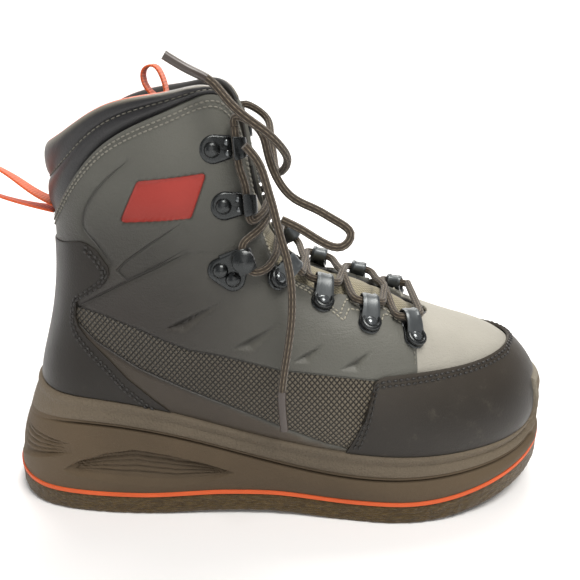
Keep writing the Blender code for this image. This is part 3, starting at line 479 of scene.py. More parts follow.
HOOK_LINE = ((-1, 1.3), (8, 1.4), (12, 2.2), (14.2, 4.4), (14, 7.2), (11.6, 8.9), (7.6, 9.4))
LOCK_LINE = ((-1, 1.3), (8, 1.4), (12, 2.0), (14.2, 4.2), (14.4, 7.0), (12.4, 9.2), (9, 10.0), (5.6, 9.6))
LOOP_LINE = ((-1.5, 3.0), (4, 6.2), (8.5, 7.6), (12, 7.0), (13.6, 4.4), (12, 1.7), (8.5, 0.9), (3, 0.9))
LOOP_CHANNEL = (9.7, 4.3)
HOOK_CHANNEL = (10.1, 5.3)
LOCK_CHANNEL = (10.6, 5.9)
LOCK_FRONT = 19.0


def hardware_places():
    """Name, kind and seat of each piece of lacing hardware."""
    places = []
    for side, word in ((-1, "lateral"), (1, "medial")):
        for i, (rivet, aim) in enumerate(zip(LOOP_RIVETS, LOOP_AIM), 1):
            reach = 15.0 if i == len(LOOP_RIVETS) else 11.0
            places.append((f"lace_loop_{word}_{i}", "loop", seat_frame(*rivet, side, aim, reach)))
        places.append((f"lock_hook_{word}", "lock", seat_frame(*LOCK_RIVET, side, LOCK_AIM, 11.0)))
        for i, rivet in enumerate(HOOK_RIVETS, 1):
            places.append((f"hook_{word}_{i}", "hook", seat_frame(*rivet, side, HOOK_AIM, 7.0)))
    return places


def smooth_route(points, spacing):
    """Even points on a smooth curve through a route's own points."""
    points = np.array(points, float)
    knots = distances(points)
    fine = cubic_weights(knots, np.linspace(0, knots[-1], 400), False) @ points
    length = distances(fine)
    even = np.linspace(0, length[-1], max(4, round(length[-1] / spacing) + 1))
    return read_at(even, length, fine)


def channel_points(seat, channel):
    """Where the lace enters and leaves a loop or a hook's neck, from the toe side up. It comes to
    the lock hook round the front of its head."""
    x, z = channel
    spread = 10 if channel == HOOK_CHANNEL else 8
    points = [(np.array(seat @ Vector((x, y, z))), y) for y in (-spread, spread)]
    (low, low_y), (high, _) = sorted(points, key=lambda p: p[0][2] - 0.6 * p[0][0])
    if channel == LOCK_CHANNEL:
        return [np.array(seat @ Vector((LOCK_FRONT, low_y * 1.1, z))), low, high]
    return [low, high]


def push_clear(points, need):
    """Points moved outward until they are clear of the tongue."""
    front, normal = (grid.reshape(-1, 3) for grid in tongue_face(49, 25))
    for _ in range(4):
        apart = points[:, None] - front[None]
        nearest = np.argmin((apart**2).sum(axis=2), axis=1)
        height = (apart[np.arange(len(points)), nearest] * normal[nearest]).sum(axis=1)
        points = points + normal[nearest] * np.clip(need - height, 0, None)[:, None]
    return points


def edge_point(start, end):
    """Where the lace between two points passes over the quarter's front edge, on the start's side."""
    u = np.linspace(station(4), station(5.6), 60)
    u = on_side(u, start[1])
    edge, out = last_point(u, 1.0), last_normal(u, 1.0)
    forward = edge - last_point(u, 0.97)
    forward /= np.linalg.norm(forward, axis=1, keepdims=True)
    share = np.linspace(0, 1, 40)[:, None, None]
    away = np.linalg.norm(start + (end - start) * share - edge[None], axis=2).min(axis=0)
    nearest = np.argmin(away)
    return edge[nearest] + (out[nearest] + forward[nearest]) * (LACE_RADIUS + EDGE_CLEARANCE)


def over_quarter(start, end):
    """Points of the lace from a hook to the quarter's front edge, clear of the quarter's face."""
    edge = edge_point(start, end)
    middle = (start + edge) / 2
    nearest = np.argmin(((FACE_POINTS - middle) ** 2).sum(axis=1))
    height = (middle - FACE_POINTS[nearest]) @ FACE_NORMALS[nearest]
    middle = middle + FACE_NORMALS[nearest] * max(0, LACE_RADIUS + EDGE_CLEARANCE - height)
    return [middle, edge]


def crossing(start, end, over_start=False, over_end=False):
    """Points of the lace between two pieces of hardware, arched over the tongue."""
    first = over_quarter(start, end) if over_start else []
    last = over_quarter(end, start) if over_end else []
    begin, finish = (first or [start])[-1], (last or [end])[-1]
    share = np.arange(1, 5)[:, None] / 5
    arch = push_clear(begin + (finish - begin) * share, LACE_RADIUS + 1.5)
    return [*first, *arch, *last[::-1]]


def lace_routes():
    """The route of each half of the lace, from the lowest bar up to the top hooks."""
    seats = {name: (kind, seat) for name, kind, seat in hardware_places()}
    channels = {"loop": LOOP_CHANNEL, "lock": LOCK_CHANNEL, "hook": HOOK_CHANNEL}
    order = (
        "lace_loop_{}_1", "lace_loop_{}_2", "lace_loop_{}_3", "lace_loop_{}_4", "lock_hook_{}", "hook_{}_1",
    )
    routes = []
    for sides in (("lateral", "medial") * 3, ("medial", "lateral") * 3):
        route, before = [], None
        for pattern, side in zip(order, sides):
            kind, seat = seats[pattern.format(side)]
            points = channel_points(seat, channels[kind])
            if route:
                route += crossing(route[-1], points[0], before != "loop", kind != "loop")
            route += points
            before = kind
        _, seat = seats[f"hook_{sides[5]}_2"]
        routes.append([*route, *channel_points(seat, HOOK_CHANNEL)])
    start = routes[1][0] + [0.5, 0, 0.5]
    routes[0] = [start, *crossing(start, routes[0][0]), *routes[0]]
    return [np.array(route) for route in routes]


# Loose ends of the lace, as points from the top hooks or from the knot outward
BOW_LOOP = (
    (104, -42, 214), (108, -40.5, 204), (112, -38, 191), (121, -37, 179), (132, -40, 174), (142, -44, 169),
    (149, -48, 163), (145, -51, 158), (136, -49, 159), (125, -45.5, 165), (115, -45, 170),
)
END_DOWN = (
    (98, -51, 207), (104, -49.5, 199), (108, -47.5, 187), (111, -46.5, 176), (114, -49.5, 164),
    (117, -52, 154), (120, -56, 131), (119, -60, 116), (116, -63, 96), (115, -64, 88), (116, -65, 64),
)
END_UP = (
    (104, 37, 213), (109, 26, 204), (111, 9, 192), (113, -9, 187), (117, -24, 192), (118, -34, 198), (115, -44, 205),
    (108, -51, 213), (99, -54, 220), (91, -51, 227), (82, -46, 236), (74, -45, 240), (62, -46, 247),
)

# Where the photographed side shows its seams and marks, as x and z points
VAMP_SEAM = 187.0
FAR_MARK = 9.0
UPPER_BAND = (
    (-8, 124), (9, 120), (21, 117), (38, 111), (53, 105), (66, 100), (84, 97), (101, 93), (115, 90),
    (134, 88), (151, 86), (165, 84),
)
LOWER_BAND = (
    (-10, 116), (6, 112), (16, 102), (26, 96), (38, 89), (52, 83), (75, 73), (95, 65), (115, 57),
    (135, 50), (150, 46),
)
HEEL_CREASE = ((41, 198), (31, 190), (23, 182), (18, 175), (16, 171), (15, 164), (19, 158), (28, 146))
STRAIGHT_CREASE = ((8, 121), (35, 136), (61, 149), (67, 152))
LENS_PANEL = ((31, 142), (37, 148), (48, 156), (66, 168), (72, 157), (56, 148), (44, 141), (36, 137))
LOZENGE = ((37, 169), (46, 187), (76, 190), (69, 171))
# Each slanted recess: its low corner, its low front corner and its tip
SLASHES = (
    ((53, 111), (65.5, 110), (86, 127.5)),
    ((88.5, 101), (100.5, 100), (116, 116)),
    ((120, 94.5), (129, 94), (138, 104.5)),
    ((145, 90.5), (154.5, 89.5), (163.5, 100)),
)
COUNTER_SIDE = (
    (55, 60), (45, 68), (33, 78), (22, 90), (12, 100), (7, 107), (6, 112), (7, 119), (8, 122),
    (16, 127), (23, 132), (27, 138), (27, 143), (22, 151), (16, 157),
)
HEEL_LENS = (
    (-9, 26), (2, 33), (18, 39), (34, 42), (52, 39), (71, 34), (90, 27.5),
    (72, 21), (56, 17.5), (25, 19), (2, 23),
)
# How many of its points, from the rear, lie on its upper edge
HEEL_LENS_TOP = 7


def smooth_line(points, count):
    """Even points on a smooth line through the given ones."""
    points = np.array(points, float)
    knots = distances(points)
    return cubic_weights(knots, np.linspace(0, knots[-1], count), False) @ points


def line_distance(x, z, line):
    """How far each place of the side view is from a line."""
    nearest = np.full(x.shape, 1e9)
    for (ax, az), (bx, bz) in zip(line, line[1:]):
        dx, dz = bx - ax, bz - az
        t = np.clip(((x - ax) * dx + (z - az) * dz) / (dx * dx + dz * dz), 0, 1)
        nearest = np.minimum(nearest, np.hypot(x - ax - t * dx, z - az - t * dz))
    return nearest


def shape_distance(x, z, corners):
    """How far each place of the side view is from a shape's edge, negative inside it."""
    closed = [*corners, corners[0]]
    inside = np.zeros(x.shape, bool)
    for (ax, az), (bx, bz) in zip(closed, closed[1:]):
        if az != bz:
            inside ^= ((az > z) != (bz > z)) & (x < (bx - ax) * (z - az) / (bz - az) + ax)
    edge = line_distance(x, z, closed)
    return np.where(inside, -edge, edge)


def height_of(line, x):
    """Height of a line of x and z points at x."""
    return np.interp(x, [p[0] for p in line], [p[1] for p in line])


def srgb(red, green, blue):
    """A shader colour from screen values."""
    def linear(value):
        value /= 255
        return value / 12.92 if value <= 0.04045 else ((value + 0.055) / 1.055) ** 2.4
    return (linear(red), linear(green), linear(blue), 1.0)


def lattice(name, points):
    """A grid primitive with its vertices moved to the points of rows and columns."""
    rows, columns = points.shape[:2]
    bpy.ops.object.select_all(action="DESELECT")
    bpy.ops.mesh.primitive_grid_add(x_subdivisions=columns - 1, y_subdivisions=rows - 1, size=2)
    piece = bpy.context.object
    piece.name = piece.data.name = name
    piece.data.vertices.foreach_set("co", (points.reshape(-1, 3) * MM).astype(np.float32).ravel())
    piece.data.update()
    return piece


def paint(piece, name, values):
    """A number at every vertex, which a material reads by its name."""
    layer = piece.data.attributes.new(name, "FLOAT", "POINT")
    layer.data.foreach_set("value", np.ravel(values).astype(np.float32))


def stretch_uv(piece, across, along_it):
    """Scales the piece's own UV map, so that a woven pattern has its real size."""
    layer = piece.data.uv_layers.active.data
    uv = np.empty(len(layer) * 2, np.float32)
    layer.foreach_get("uv", uv)
    uv = uv.reshape(-1, 2) * (across, along_it)
    layer.foreach_set("uv", uv.astype(np.float32).ravel())


def pick(*pieces):
    """Selects these pieces alone and makes the first one active."""
    bpy.ops.object.select_all(action="DESELECT")
    for piece in pieces:
        piece.select_set(True)
    bpy.context.view_layer.objects.active = pieces[0]


def close_up(piece):
    """Merges the edges that meet and turns every face outward."""
    pick(piece)
    bpy.ops.object.mode_set(mode="EDIT")
    bpy.ops.mesh.select_all(action="SELECT")
    bpy.ops.mesh.remove_doubles(threshold=2e-6)
    bpy.ops.mesh.normals_make_consistent(inside=False)
    bpy.ops.object.mode_set(mode="OBJECT")
    return piece


def apply(piece, kind, **settings):
    """Adds a modifier and applies it."""
    pick(piece)
    modifier = piece.modifiers.new(kind.lower(), kind)
    for key, value in settings.items():
        setattr(modifier, key, value)
    bpy.ops.object.modifier_apply(modifier=modifier.name)


def smooth(piece, angle=40):
    """Shades a piece smooth, with hard edges where its faces turn more than the angle."""
    pick(piece)
    bpy.ops.object.shade_smooth_by_angle(angle=math.radians(angle))
    return piece


def hull_of_discs(discs, count):
    """The outline round several discs of x, y and radius, as if a band were drawn round them."""
    turn = np.linspace(0, 2 * math.pi, count)
    way = np.column_stack([np.cos(turn), np.sin(turn)])
    reach = np.array([[x, y] @ way.T + radius for x, y, radius in discs])
    outermost = np.argmax(reach, axis=0)
    discs = np.array(discs)[outermost]
    return discs[:, :2] + way * discs[:, 2:]


def plate(name, face, outward, thickness, bevel):
    """A layer with its outer side on a grid of points: given a wall and rounded edges."""
    piece = lattice(name, face)
    normals = np.empty(len(piece.data.vertices) * 3, np.float32)
    piece.data.vertices.foreach_get("normal", normals)
    if (normals.reshape(-1, 3) * outward.reshape(-1, 3)).sum() < 0:
        piece.data.flip_normals()
    apply(piece, "SOLIDIFY", thickness=thickness * MM, offset=-1.0)
    if bevel:
        apply(piece, "BEVEL", width=bevel * MM, segments=3, limit_method="ANGLE", angle_limit=math.radians(50))
    return piece


def dress(piece, finish, slot, *nodes):
    """Gives a piece its material and its CAD nodes, and lets it ride on the boot."""
    piece.data.materials.clear()
    piece.data.materials.append(finish)
    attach(piece, "root")
    if nodes:
        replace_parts(piece, *nodes)
    return piece


def marked_piece(name, grid, angle, finish, slot, node):
    """A closed piece from its points and the marks painted on them, dressed for its CAD node."""
    points, marks = grid
    piece = lattice(name, points)
    for mark, values in marks.items():
        paint(piece, mark, values)
    return dress(smooth(close_up(piece), angle), finish, slot, node)


def on_upper(u, v, offset):
    """Points on grids of u and v, an offset outside the upper's face."""
    offset = np.broadcast_to(offset, u.shape)
    return last_offset(u.ravel(), v.ravel(), offset.ravel()).reshape(*u.shape, 3)


def to_middle(ring, shares):
    """Rings that fill a closed ring from its edge to the line between its two sides."""
    other = ring[::-1]
    return [ring + (other - ring) * share / 2 for share in shares]


class Signal:
    """A socket of a material, with plain arithmetic on it."""

    def __init__(self, looks, socket):
        self.looks, self.socket = looks, socket

    def __add__(self, other):
        return self.looks.math("ADD", self, other)

    def __radd__(self, other):
        return self.looks.math("ADD", other, self)

    def __sub__(self, other):
        return self.looks.math("SUBTRACT", self, other)

    def __rsub__(self, other):
        return self.looks.math("SUBTRACT", other, self)

    def __mul__(self, other):
        return self.looks.math("MULTIPLY", self, other)

    def __rmul__(self, other):
        return self.looks.math("MULTIPLY", other, self)


class Looks:
    """The nodes of one material, from a pattern's coordinates to the shader."""

    def __init__(self, name):
        self.material = bpy.data.materials.new(name)
        self.material.use_nodes = True
        self.tree = self.material.node_tree
        self.shader = self.tree.nodes["Principled BSDF"]

    def node(self, kind, settings=None, **values):
        """A node of a type, its settings first and then the values or links of its sockets."""
        made = self.tree.nodes.new(kind)
        for key, value in (settings or {}).items():
            setattr(made, key, value)
        for key, value in values.items():
            socket = made.inputs[int(key[1:]) if key[1:].isdigit() else key.replace("_", " ")]
            self.feed(socket, value)
        return made

    def feed(self, socket, value):
        """Links a socket to a signal or another socket, or sets its value."""
        if isinstance(value, Signal):
            value = value.socket
        if isinstance(value, bpy.types.NodeSocket):
            self.tree.links.new(value, socket)
        else:
            socket.default_value = value

    def math(self, operation, *values):
        """A Math node's result."""
        made = self.node("ShaderNodeMath", {"operation": operation}, **{f"i{i}": v for i, v in enumerate(values)})
        return Signal(self, made.outputs[0])

    def absolute(self, value):
        return self.math("ABSOLUTE", value)

    def sine(self, value):
        return self.math("SINE", value)

    def clamp(self, value):
        made = self.node("ShaderNodeClamp", None, Value=value)
        return Signal(self, made.outputs[0])

    def painted(self, name):
        """A number painted on the mesh."""
        made = self.node("ShaderNodeAttribute", {"attribute_name": name})
        return Signal(self, made.outputs["Fac"])

    def place(self):
        """Object coordinates, and their x, y and z in millimetres."""
        made = self.node("ShaderNodeTexCoord")
        split = self.node("ShaderNodeSeparateXYZ", None, Vector=made.outputs["Object"])
        return made.outputs["Object"], [Signal(self, split.outputs[i]) * 1000.0 for i in range(3)]

    def own_uv(self):
        """The two directions of the piece's own UV map."""
        made = self.node("ShaderNodeTexCoord")
        split = self.node("ShaderNodeSeparateXYZ", None, Vector=made.outputs["UV"])
        return [Signal(self, split.outputs[i]) for i in range(2)]

    def stretched(self, vector, scale):
        """Coordinates with a scale of their own along each axis."""
        made = self.node("ShaderNodeMapping", None, Vector=vector, Scale=scale)
        return made.outputs["Vector"]

    def cloud(self, vector, scale, detail=4.0, roughness=0.55):
        """Soft noise from 0 to 1."""
        made = self.node("ShaderNodeTexNoise", None, Vector=vector, Scale=scale, Detail=detail, Roughness=roughness)
        return Signal(self, made.outputs[0])

    def cells(self, vector, scale):
        """Distance in a pattern of cells."""
        made = self.node("ShaderNodeTexVoronoi", {"feature": "F1"}, Vector=vector, Scale=scale)
        return Signal(self, made.outputs["Distance"])

    def ramp(self, value, low, high):
        """0 to 1 while a value goes from low to high."""
        made = self.node(
            "ShaderNodeMapRange", {"interpolation_type": "SMOOTHSTEP"},
            Value=value, From_Min=low, From_Max=high, To_Min=0.0, To_Max=1.0,
        )
        return Signal(self, made.outputs[0])

    def mix(self, first, second, factor):
        """One colour into another by a factor."""
        made = self.node("ShaderNodeMix", {"data_type": "RGBA"}, i0=factor, i6=first, i7=second)
        return made.outputs[2]

    def shade(self, colour, factor):
        """A colour made darker or lighter by a factor."""
        tone = colour[:3] if isinstance(colour, tuple) else colour
        made = self.node("ShaderNodeVectorMath", {"operation": "SCALE"}, i0=tone, Scale=factor)
        return made.outputs[0]

    def bump(self, height, distance, strength=1.0):
        """A normal from a height, the distance being the relief in millimetres."""
        made = self.node("ShaderNodeBump", None, Height=height, Distance=distance * MM, Strength=strength)
        return made.outputs[0]

    def finish(self, colour, roughness, normal=None, metallic=0.0, sheen=0.0, specular=0.5, coat=0.0):
        """Feeds the shader and hands back the material."""
        self.feed(self.shader.inputs["Base Color"], colour)
        self.feed(self.shader.inputs["Roughness"], roughness)
        self.feed(self.shader.inputs["Metallic"], metallic)
        self.shader.inputs["Specular IOR Level"].default_value = specular
        self.shader.inputs["Coat Weight"].default_value = coat
        self.shader.inputs["Coat Roughness"].default_value = 0.25
        self.shader.inputs["Sheen Weight"].default_value = sheen
        if normal is not None:
            self.feed(self.shader.inputs["Normal"], normal)
        return self.material


def chosen(name):
    """The colour that the panel holds under a name."""
    return tuple(getattr(bpy.context.scene.boot_colours, name))


def upper_leather():
    """Grey quarter and pale vamp, with the knurled band, creases and the red lozenge."""
    looks = Looks("upper_leather")
    place, (x, _, z) = looks.place()
    vamp = looks.ramp(x, VAMP_SEAM - 0.25, VAMP_SEAM + 0.25)
    band = looks.ramp(looks.painted("band"), -0.15, 0.35)
    red = looks.ramp(looks.painted("lozenge"), -0.1, 0.3)
    hollow, lining, plain = looks.painted("hollow"), looks.painted("lining"), looks.painted("plain")
    pores = looks.cells(place, 1000.0)
    wrinkles = looks.cloud(looks.stretched(place, (240.0, 240.0, 800.0)), 1.0, 4.0, 0.6)
    fine = looks.cloud(place, 2400.0, 2.0)
    mottle = looks.cloud(place, 30.0, 5.0, 0.6)
    turn = math.pi / (bpy.context.scene.boot_sizes.knurl_pitch / MM)
    first = looks.absolute(looks.sine((x + z * 0.88) * turn))
    second = looks.absolute(looks.sine((x - z * 0.88) * turn))
    knurl = looks.math("MINIMUM", first, second)
    peak = looks.ramp(knurl, 0.15, 0.75)
    crease, fold, lens, band_edge, lozenge_edge = (
        looks.absolute(looks.painted(mark)) for mark in ("crease", "fold", "lens", "band", "lozenge")
    )
    lines = 1.0 - looks.ramp(looks.math("MINIMUM", looks.math("MINIMUM", crease, fold), lens), 0.1, 0.8)
    edges = 1.0 - looks.ramp(band_edge, 0.1, 0.8)
    rim = 1.0 - looks.ramp(lozenge_edge, 0.1, 0.9)
    # Painted shade: the quarter is darkened low towards the heel.
    ankle = (1.0 - looks.ramp(x, 20.0, 150.0)) * (1.0 - looks.ramp(z, 110.0, 190.0))
    colour = looks.mix(chosen("quarter"), srgb(50, 43, 38), looks.clamp(ankle * 0.9))
    colour = looks.mix(colour, srgb(74, 65, 54), plain)
    colour = looks.mix(colour, chosen("vamp"), vamp)
    # Painted shade: the knurl's valleys get a dark colour, its peaks the band's colour.
    colour = looks.mix(colour, looks.mix(srgb(34, 31, 27), chosen("band"), peak), band)
    colour = looks.mix(colour, chosen("lozenge"), red)
    colour = looks.mix(colour, srgb(40, 38, 36), lining)
    # Painted light: the quarter is made paler towards the front and at its top.
    top = looks.ramp(z, 150.0, 215.0) * (1.0 - looks.ramp(x, 90.0, 160.0))
    wear_and_light = looks.ramp(x, 60.0, 165.0) * 0.55 + top * 0.42
    # Painted shade in the slashes, creases, lens panel, band-edge grooves and round the lozenge; on the slashes'
    # rising faces it is a painted highlight.
    dark = hollow * 0.36 + lines * 0.18 + edges * 0.22 + rim * 0.10
    colour = looks.shade(colour, 0.42 + mottle * 0.30 + wear_and_light - dark)
    leather = pores * 0.3 + wrinkles * 0.55 + fine * 0.15
    height = leather * (1.0 - band) * (1.0 - 0.5 * plain) * 0.85 + knurl * band * 1.4
    height = height - lines - edges * 0.8 - red * 1.2
    rough = looks.clamp(0.46 + (mottle - 0.5) * 0.25 + vamp * 0.27 + lining * 0.3)
    return looks.finish(colour, rough, looks.bump(height, 0.6, 0.9), sheen=0.05, specular=0.38)


def rand_leather():
    """Dark smooth leather of the rand and the counter."""
    looks = Looks("rand_leather")
    place, (x, _, z) = looks.place()
    grain = looks.cells(place, 1100.0) * 0.5 + looks.cloud(place, 1600.0, 3.0) * 0.5
    mottle = looks.cloud(place, 45.0, 5.0, 0.62)
    wear_and_light = looks.ramp(looks.cloud(place, 90.0, 6.0, 0.7), 0.55, 0.75)
    colour = looks.mix(chosen("rand"), srgb(84, 79, 68), wear_and_light * 0.30)
    # Painted sheen: the toe rand is paler than the counter, and paler still towards its top.
    toe_top_sheen = looks.ramp(x, 120.0, 165.0) * (0.2 + looks.ramp(z, 56.0, 90.0) * 0.9)
    colour = looks.shade(colour, 0.50 + mottle * 0.36 + toe_top_sheen)
    rough = looks.clamp(0.42 + (mottle - 0.5) * 0.3)
    return looks.finish(colour, rough, looks.bump(grain, 0.22, 0.6), specular=0.32)


def sandy_foam():
    """Matte moulded foam of the midsole, with fine pits."""
    looks = Looks("sandy_foam")
    place, (x, _, _) = looks.place()
    pits, speck = looks.cells(place, 1100.0), looks.cloud(place, 2200.0, 2.0)
    pebbles = looks.painted("pebbled") * looks.cells(place, 700.0)
    mottle = looks.cloud(place, 30.0, 5.0, 0.6)
    hollow, worn = looks.painted("hollow"), looks.painted("worn")
    # Painted shade in the recesses and grooves.
    colour = looks.mix(chosen("midsole"), srgb(56, 48, 38), looks.clamp(hollow) * 0.5)
    # Painted light: the pebbled rim is made paler, the top of the toe's lip paler still.
    colour = looks.mix(colour, srgb(118, 112, 100), looks.clamp(worn + looks.painted("pebbled") * 0.3))
    # Painted light: the heel end and the toe end are made paler than the waist.
    ends = (1.0 - looks.ramp(x, -35.0, 45.0)) * 0.40 + looks.ramp(x, 130.0, 240.0) * 0.25
    colour = looks.shade(colour, 0.70 + mottle * 0.30 + speck * 0.16 + ends)
    return looks.finish(colour, 0.7, looks.bump(pits * 0.35 + pebbles * 1.3 + speck * 0.4, 0.35, 0.9), specular=0.35)


def wool_felt():
    """Pressed felt: short fibres that lie mostly along the sole."""
    looks = Looks("wool_felt")
    place, _ = looks.place()
    fibres = looks.cloud(looks.stretched(place, (260.0, 260.0, 1500.0)), 1.0, 6.0, 0.7)
    tufts = looks.cloud(place, 420.0, 5.0, 0.7)
    mottle = looks.cloud(place, 55.0, 4.0, 0.6)
    colour = looks.mix(srgb(56, 41, 18), srgb(92, 74, 38), looks.ramp(fibres, 0.35, 0.68))
    colour = looks.mix(colour, srgb(40, 31, 16), looks.ramp(tufts, 0.52, 0.72) * 0.55)
    colour = looks.shade(colour, 0.78 + mottle * 0.4)
    return looks.finish(colour, 0.95, looks.bump(fibres * 0.6 + tufts * 0.4, 1.1, 1.0), sheen=0.3, specular=0.15)


def orange_rubber():
    """The bright layer between felt and midsole."""
    looks = Looks("orange_rubber")
    place, _ = looks.place()
    mottle = looks.cloud(place, 60.0, 4.0)
    colour = looks.shade(chosen("orange"), 0.82 + mottle * 0.3)
    return looks.finish(colour, 0.62, looks.bump(looks.cloud(place, 1300.0, 2.0), 0.2, 0.6), specular=0.4)


def collar_leather():
    """Soft dark leather over the collar's padding, with the orange edge of the lining and a painted
    highlight along its upper roll.
    """
    looks = Looks("collar_leather")
    place, _ = looks.place()
    wrinkles = looks.cloud(looks.stretched(place, (300.0, 300.0, 700.0)), 1.0, 5.0, 0.6)
    pores = looks.cells(place, 1300.0)
    mottle = looks.cloud(place, 40.0, 5.0, 0.6)
    trim, inner = looks.ramp(looks.painted("trim"), 0.35, 0.6), looks.painted("lining")
    # Painted highlight along the collar's upper roll.
    roll_highlight = looks.ramp(looks.painted("top"), 0.35, 0.95)
    colour = looks.mix(chosen("collar"), srgb(126, 120, 106), roll_highlight * 0.75)
    colour = looks.mix(colour, srgb(40, 39, 38), inner)
    colour = looks.mix(colour, chosen("orange"), trim)
    colour = looks.shade(colour, 0.78 + mottle * 0.44)
    rough = looks.clamp(0.42 + inner * 0.4 + (mottle - 0.5) * 0.2)
    return looks.finish(colour, rough, looks.bump(wrinkles * 0.6 + pores * 0.4, 0.4, 0.7), sheen=0.1, specular=0.5)


def tongue_cloth():
    """Tan-grey woven cloth of the tongue."""
    looks = Looks("tongue_cloth")
    u, v = looks.own_uv()
    across = looks.sine(u * (2 * math.pi))
    upward = looks.sine(v * (2 * math.pi))
    weave = across * upward * 0.5 + 0.5
    place, _ = looks.place()
    mottle = looks.cloud(place, 50.0, 5.0, 0.6)
    pad = looks.painted("pad")
    colour = looks.mix(srgb(112, 106, 88), srgb(158, 150, 126), weave)
    # Painted shade in the cross channels and along the tongue's edges.
    colour = looks.mix(colour, srgb(60, 58, 50), looks.clamp(1.0 - pad) * 0.6)
    colour = looks.shade(colour, 0.75 + mottle * 0.4)
    return looks.finish(colour, 0.88, looks.bump(weave, 0.3, 0.8), sheen=0.25, specular=0.2)


def gunmetal(name="gunmetal", tone=(44, 47, 48), rough=0.26):
    """Dark plated metal with fine scuff marks."""
    looks = Looks(name)
    place, _ = looks.place()
    marks = looks.cloud(looks.stretched(place, (900.0, 900.0, 300.0)), 1.0, 5.0, 0.7)
    colour = looks.shade(srgb(*tone), 0.75 + marks * 0.5)
    rough = looks.clamp(rough + (marks - 0.5) * 0.22)
    return looks.finish(colour, rough, looks.bump(marks, 0.05, 0.4), metallic=0.8, coat=0.5)


def strap_metal():
    """Grey strap of the lace loops."""
    return gunmetal("strap_metal", (84, 88, 90), 0.44)


def silver():
    """Polished rivet heads."""
    return gunmetal("silver", (96, 100, 102), 0.18)


def lace_braid():
    """Round braided lace, dark brown with pale threads along it."""
    looks = Looks("lace_braid")
    round_it, along_it = looks.own_uv()
    first = looks.sine((round_it * 8.0 + along_it) * (2 * math.pi))
    second = looks.sine((round_it * 8.0 - along_it) * (2 * math.pi))
    braid = looks.math("MAXIMUM", first, second) * 0.5 + 0.5
    stripe = looks.ramp(looks.sine(round_it * (16 * math.pi)), 0.35, 0.9)
    place, _ = looks.place()
    mottle = looks.cloud(place, 150.0, 3.0)
    colour = looks.mix(chosen("lace"), srgb(124, 112, 94), looks.clamp(stripe * (braid * 0.4 + 0.45)))
    colour = looks.shade(colour, 0.62 + braid * 0.24 + mottle * 0.3)
    return looks.finish(colour, 0.8, looks.bump(braid * 0.5 + stripe * 0.5, 0.45, 0.9), sheen=0.2, specular=0.25)


def webbing_cloth():
    """Bright ribbed webbing of the pull loops."""
    looks = Looks("webbing_cloth")
    across, along_it = looks.own_uv()
    ribs = looks.absolute(looks.sine(along_it * math.pi))
    cross = looks.absolute(looks.sine(across * math.pi))
    weave = looks.math("MAXIMUM", ribs, cross * 0.8)
    place, _ = looks.place()
    mottle = looks.cloud(place, 120.0, 3.0)
    colour = looks.shade(chosen("orange"), 0.55 + weave * 0.4 + mottle * 0.25)
    return looks.finish(colour, 0.78, looks.bump(weave, 0.4, 0.9), sheen=0.25, specular=0.3)


def plain_finish(name, tone, rough, fine=1200.0, relief=0.15, coat=0.0, sheen=0.0):
    """One colour with a fine grain, for thread, footbed and lace tips."""
    looks = Looks(name)
    place, _ = looks.place()
    mottle, grain = looks.cloud(place, 70.0, 4.0), looks.cloud(place, fine, 3.0)
    colour = looks.shade(srgb(*tone), 0.82 + mottle * 0.36)
    rough = looks.clamp(rough + (mottle - 0.5) * 0.1)
    return looks.finish(colour, rough, looks.bump(grain, relief, 0.7), sheen=sheen, coat=coat)


def side_columns(near, middle, far):
    """u round the boot, close together over the sides, wider at heel and toe."""
    low, high = station(0.9), station(6.25)
    half = np.concatenate([
        np.linspace(0, low, near, endpoint=False), np.linspace(low, high, middle, endpoint=False),
        np.linspace(high, 0.5, far),
    ])
    return np.concatenate([half, 1 - half[-2::-1]])


def fine_upper(rows):
    """The upper's rings: up its outer face, over its edge and down inside."""
    u = side_columns(20, 222, 30)
    top = upper_top(u)
    upward = last_point(u, top) - last_point(u, top - 0.015)
    upward /= np.linalg.norm(upward, axis=1, keepdims=True)
    steps = [(s, None, 0.0) for s in [*np.linspace(0, 0.16, 8, endpoint=False), *np.linspace(0.16, 1, rows - 8)]]
    steps += [(1.0, -0.5, 0.3), (1.0, -1.3, 0.45), (1.0, -2.1, 0.3)]
    steps += [(s, -WALL, 0.0) for s in np.linspace(1, 0, 12)]
    rings, rows_of_marks = [], []
    for share, inward, lift in steps:
        v = top * share
        face = last_point(u, v)
        raised, marks = relief(face[:, 0], face[:, 2])
        offset = raised if inward is None else raised * max(0, 1 + inward / WALL) + inward
        if inward is not None:
            plain = {"hollow": 0.0, "plain": 0.0, "band": -FAR_MARK, "lozenge": -FAR_MARK}
            marks = {key: np.full(len(u), plain.get(key, FAR_MARK)) for key in marks}
        marks["lining"] = np.full(len(u), 1.0 if inward is not None and inward <= -2.0 else 0.0)
        rings.append(last_offset(u, v, offset) + upward * lift)
        rows_of_marks.append(marks)
    rings.append(rings[0])
    rows_of_marks.append(rows_of_marks[0])
    return np.array(rings), {key: np.array([row[key] for row in rows_of_marks]) for key in rows_of_marks[0]}


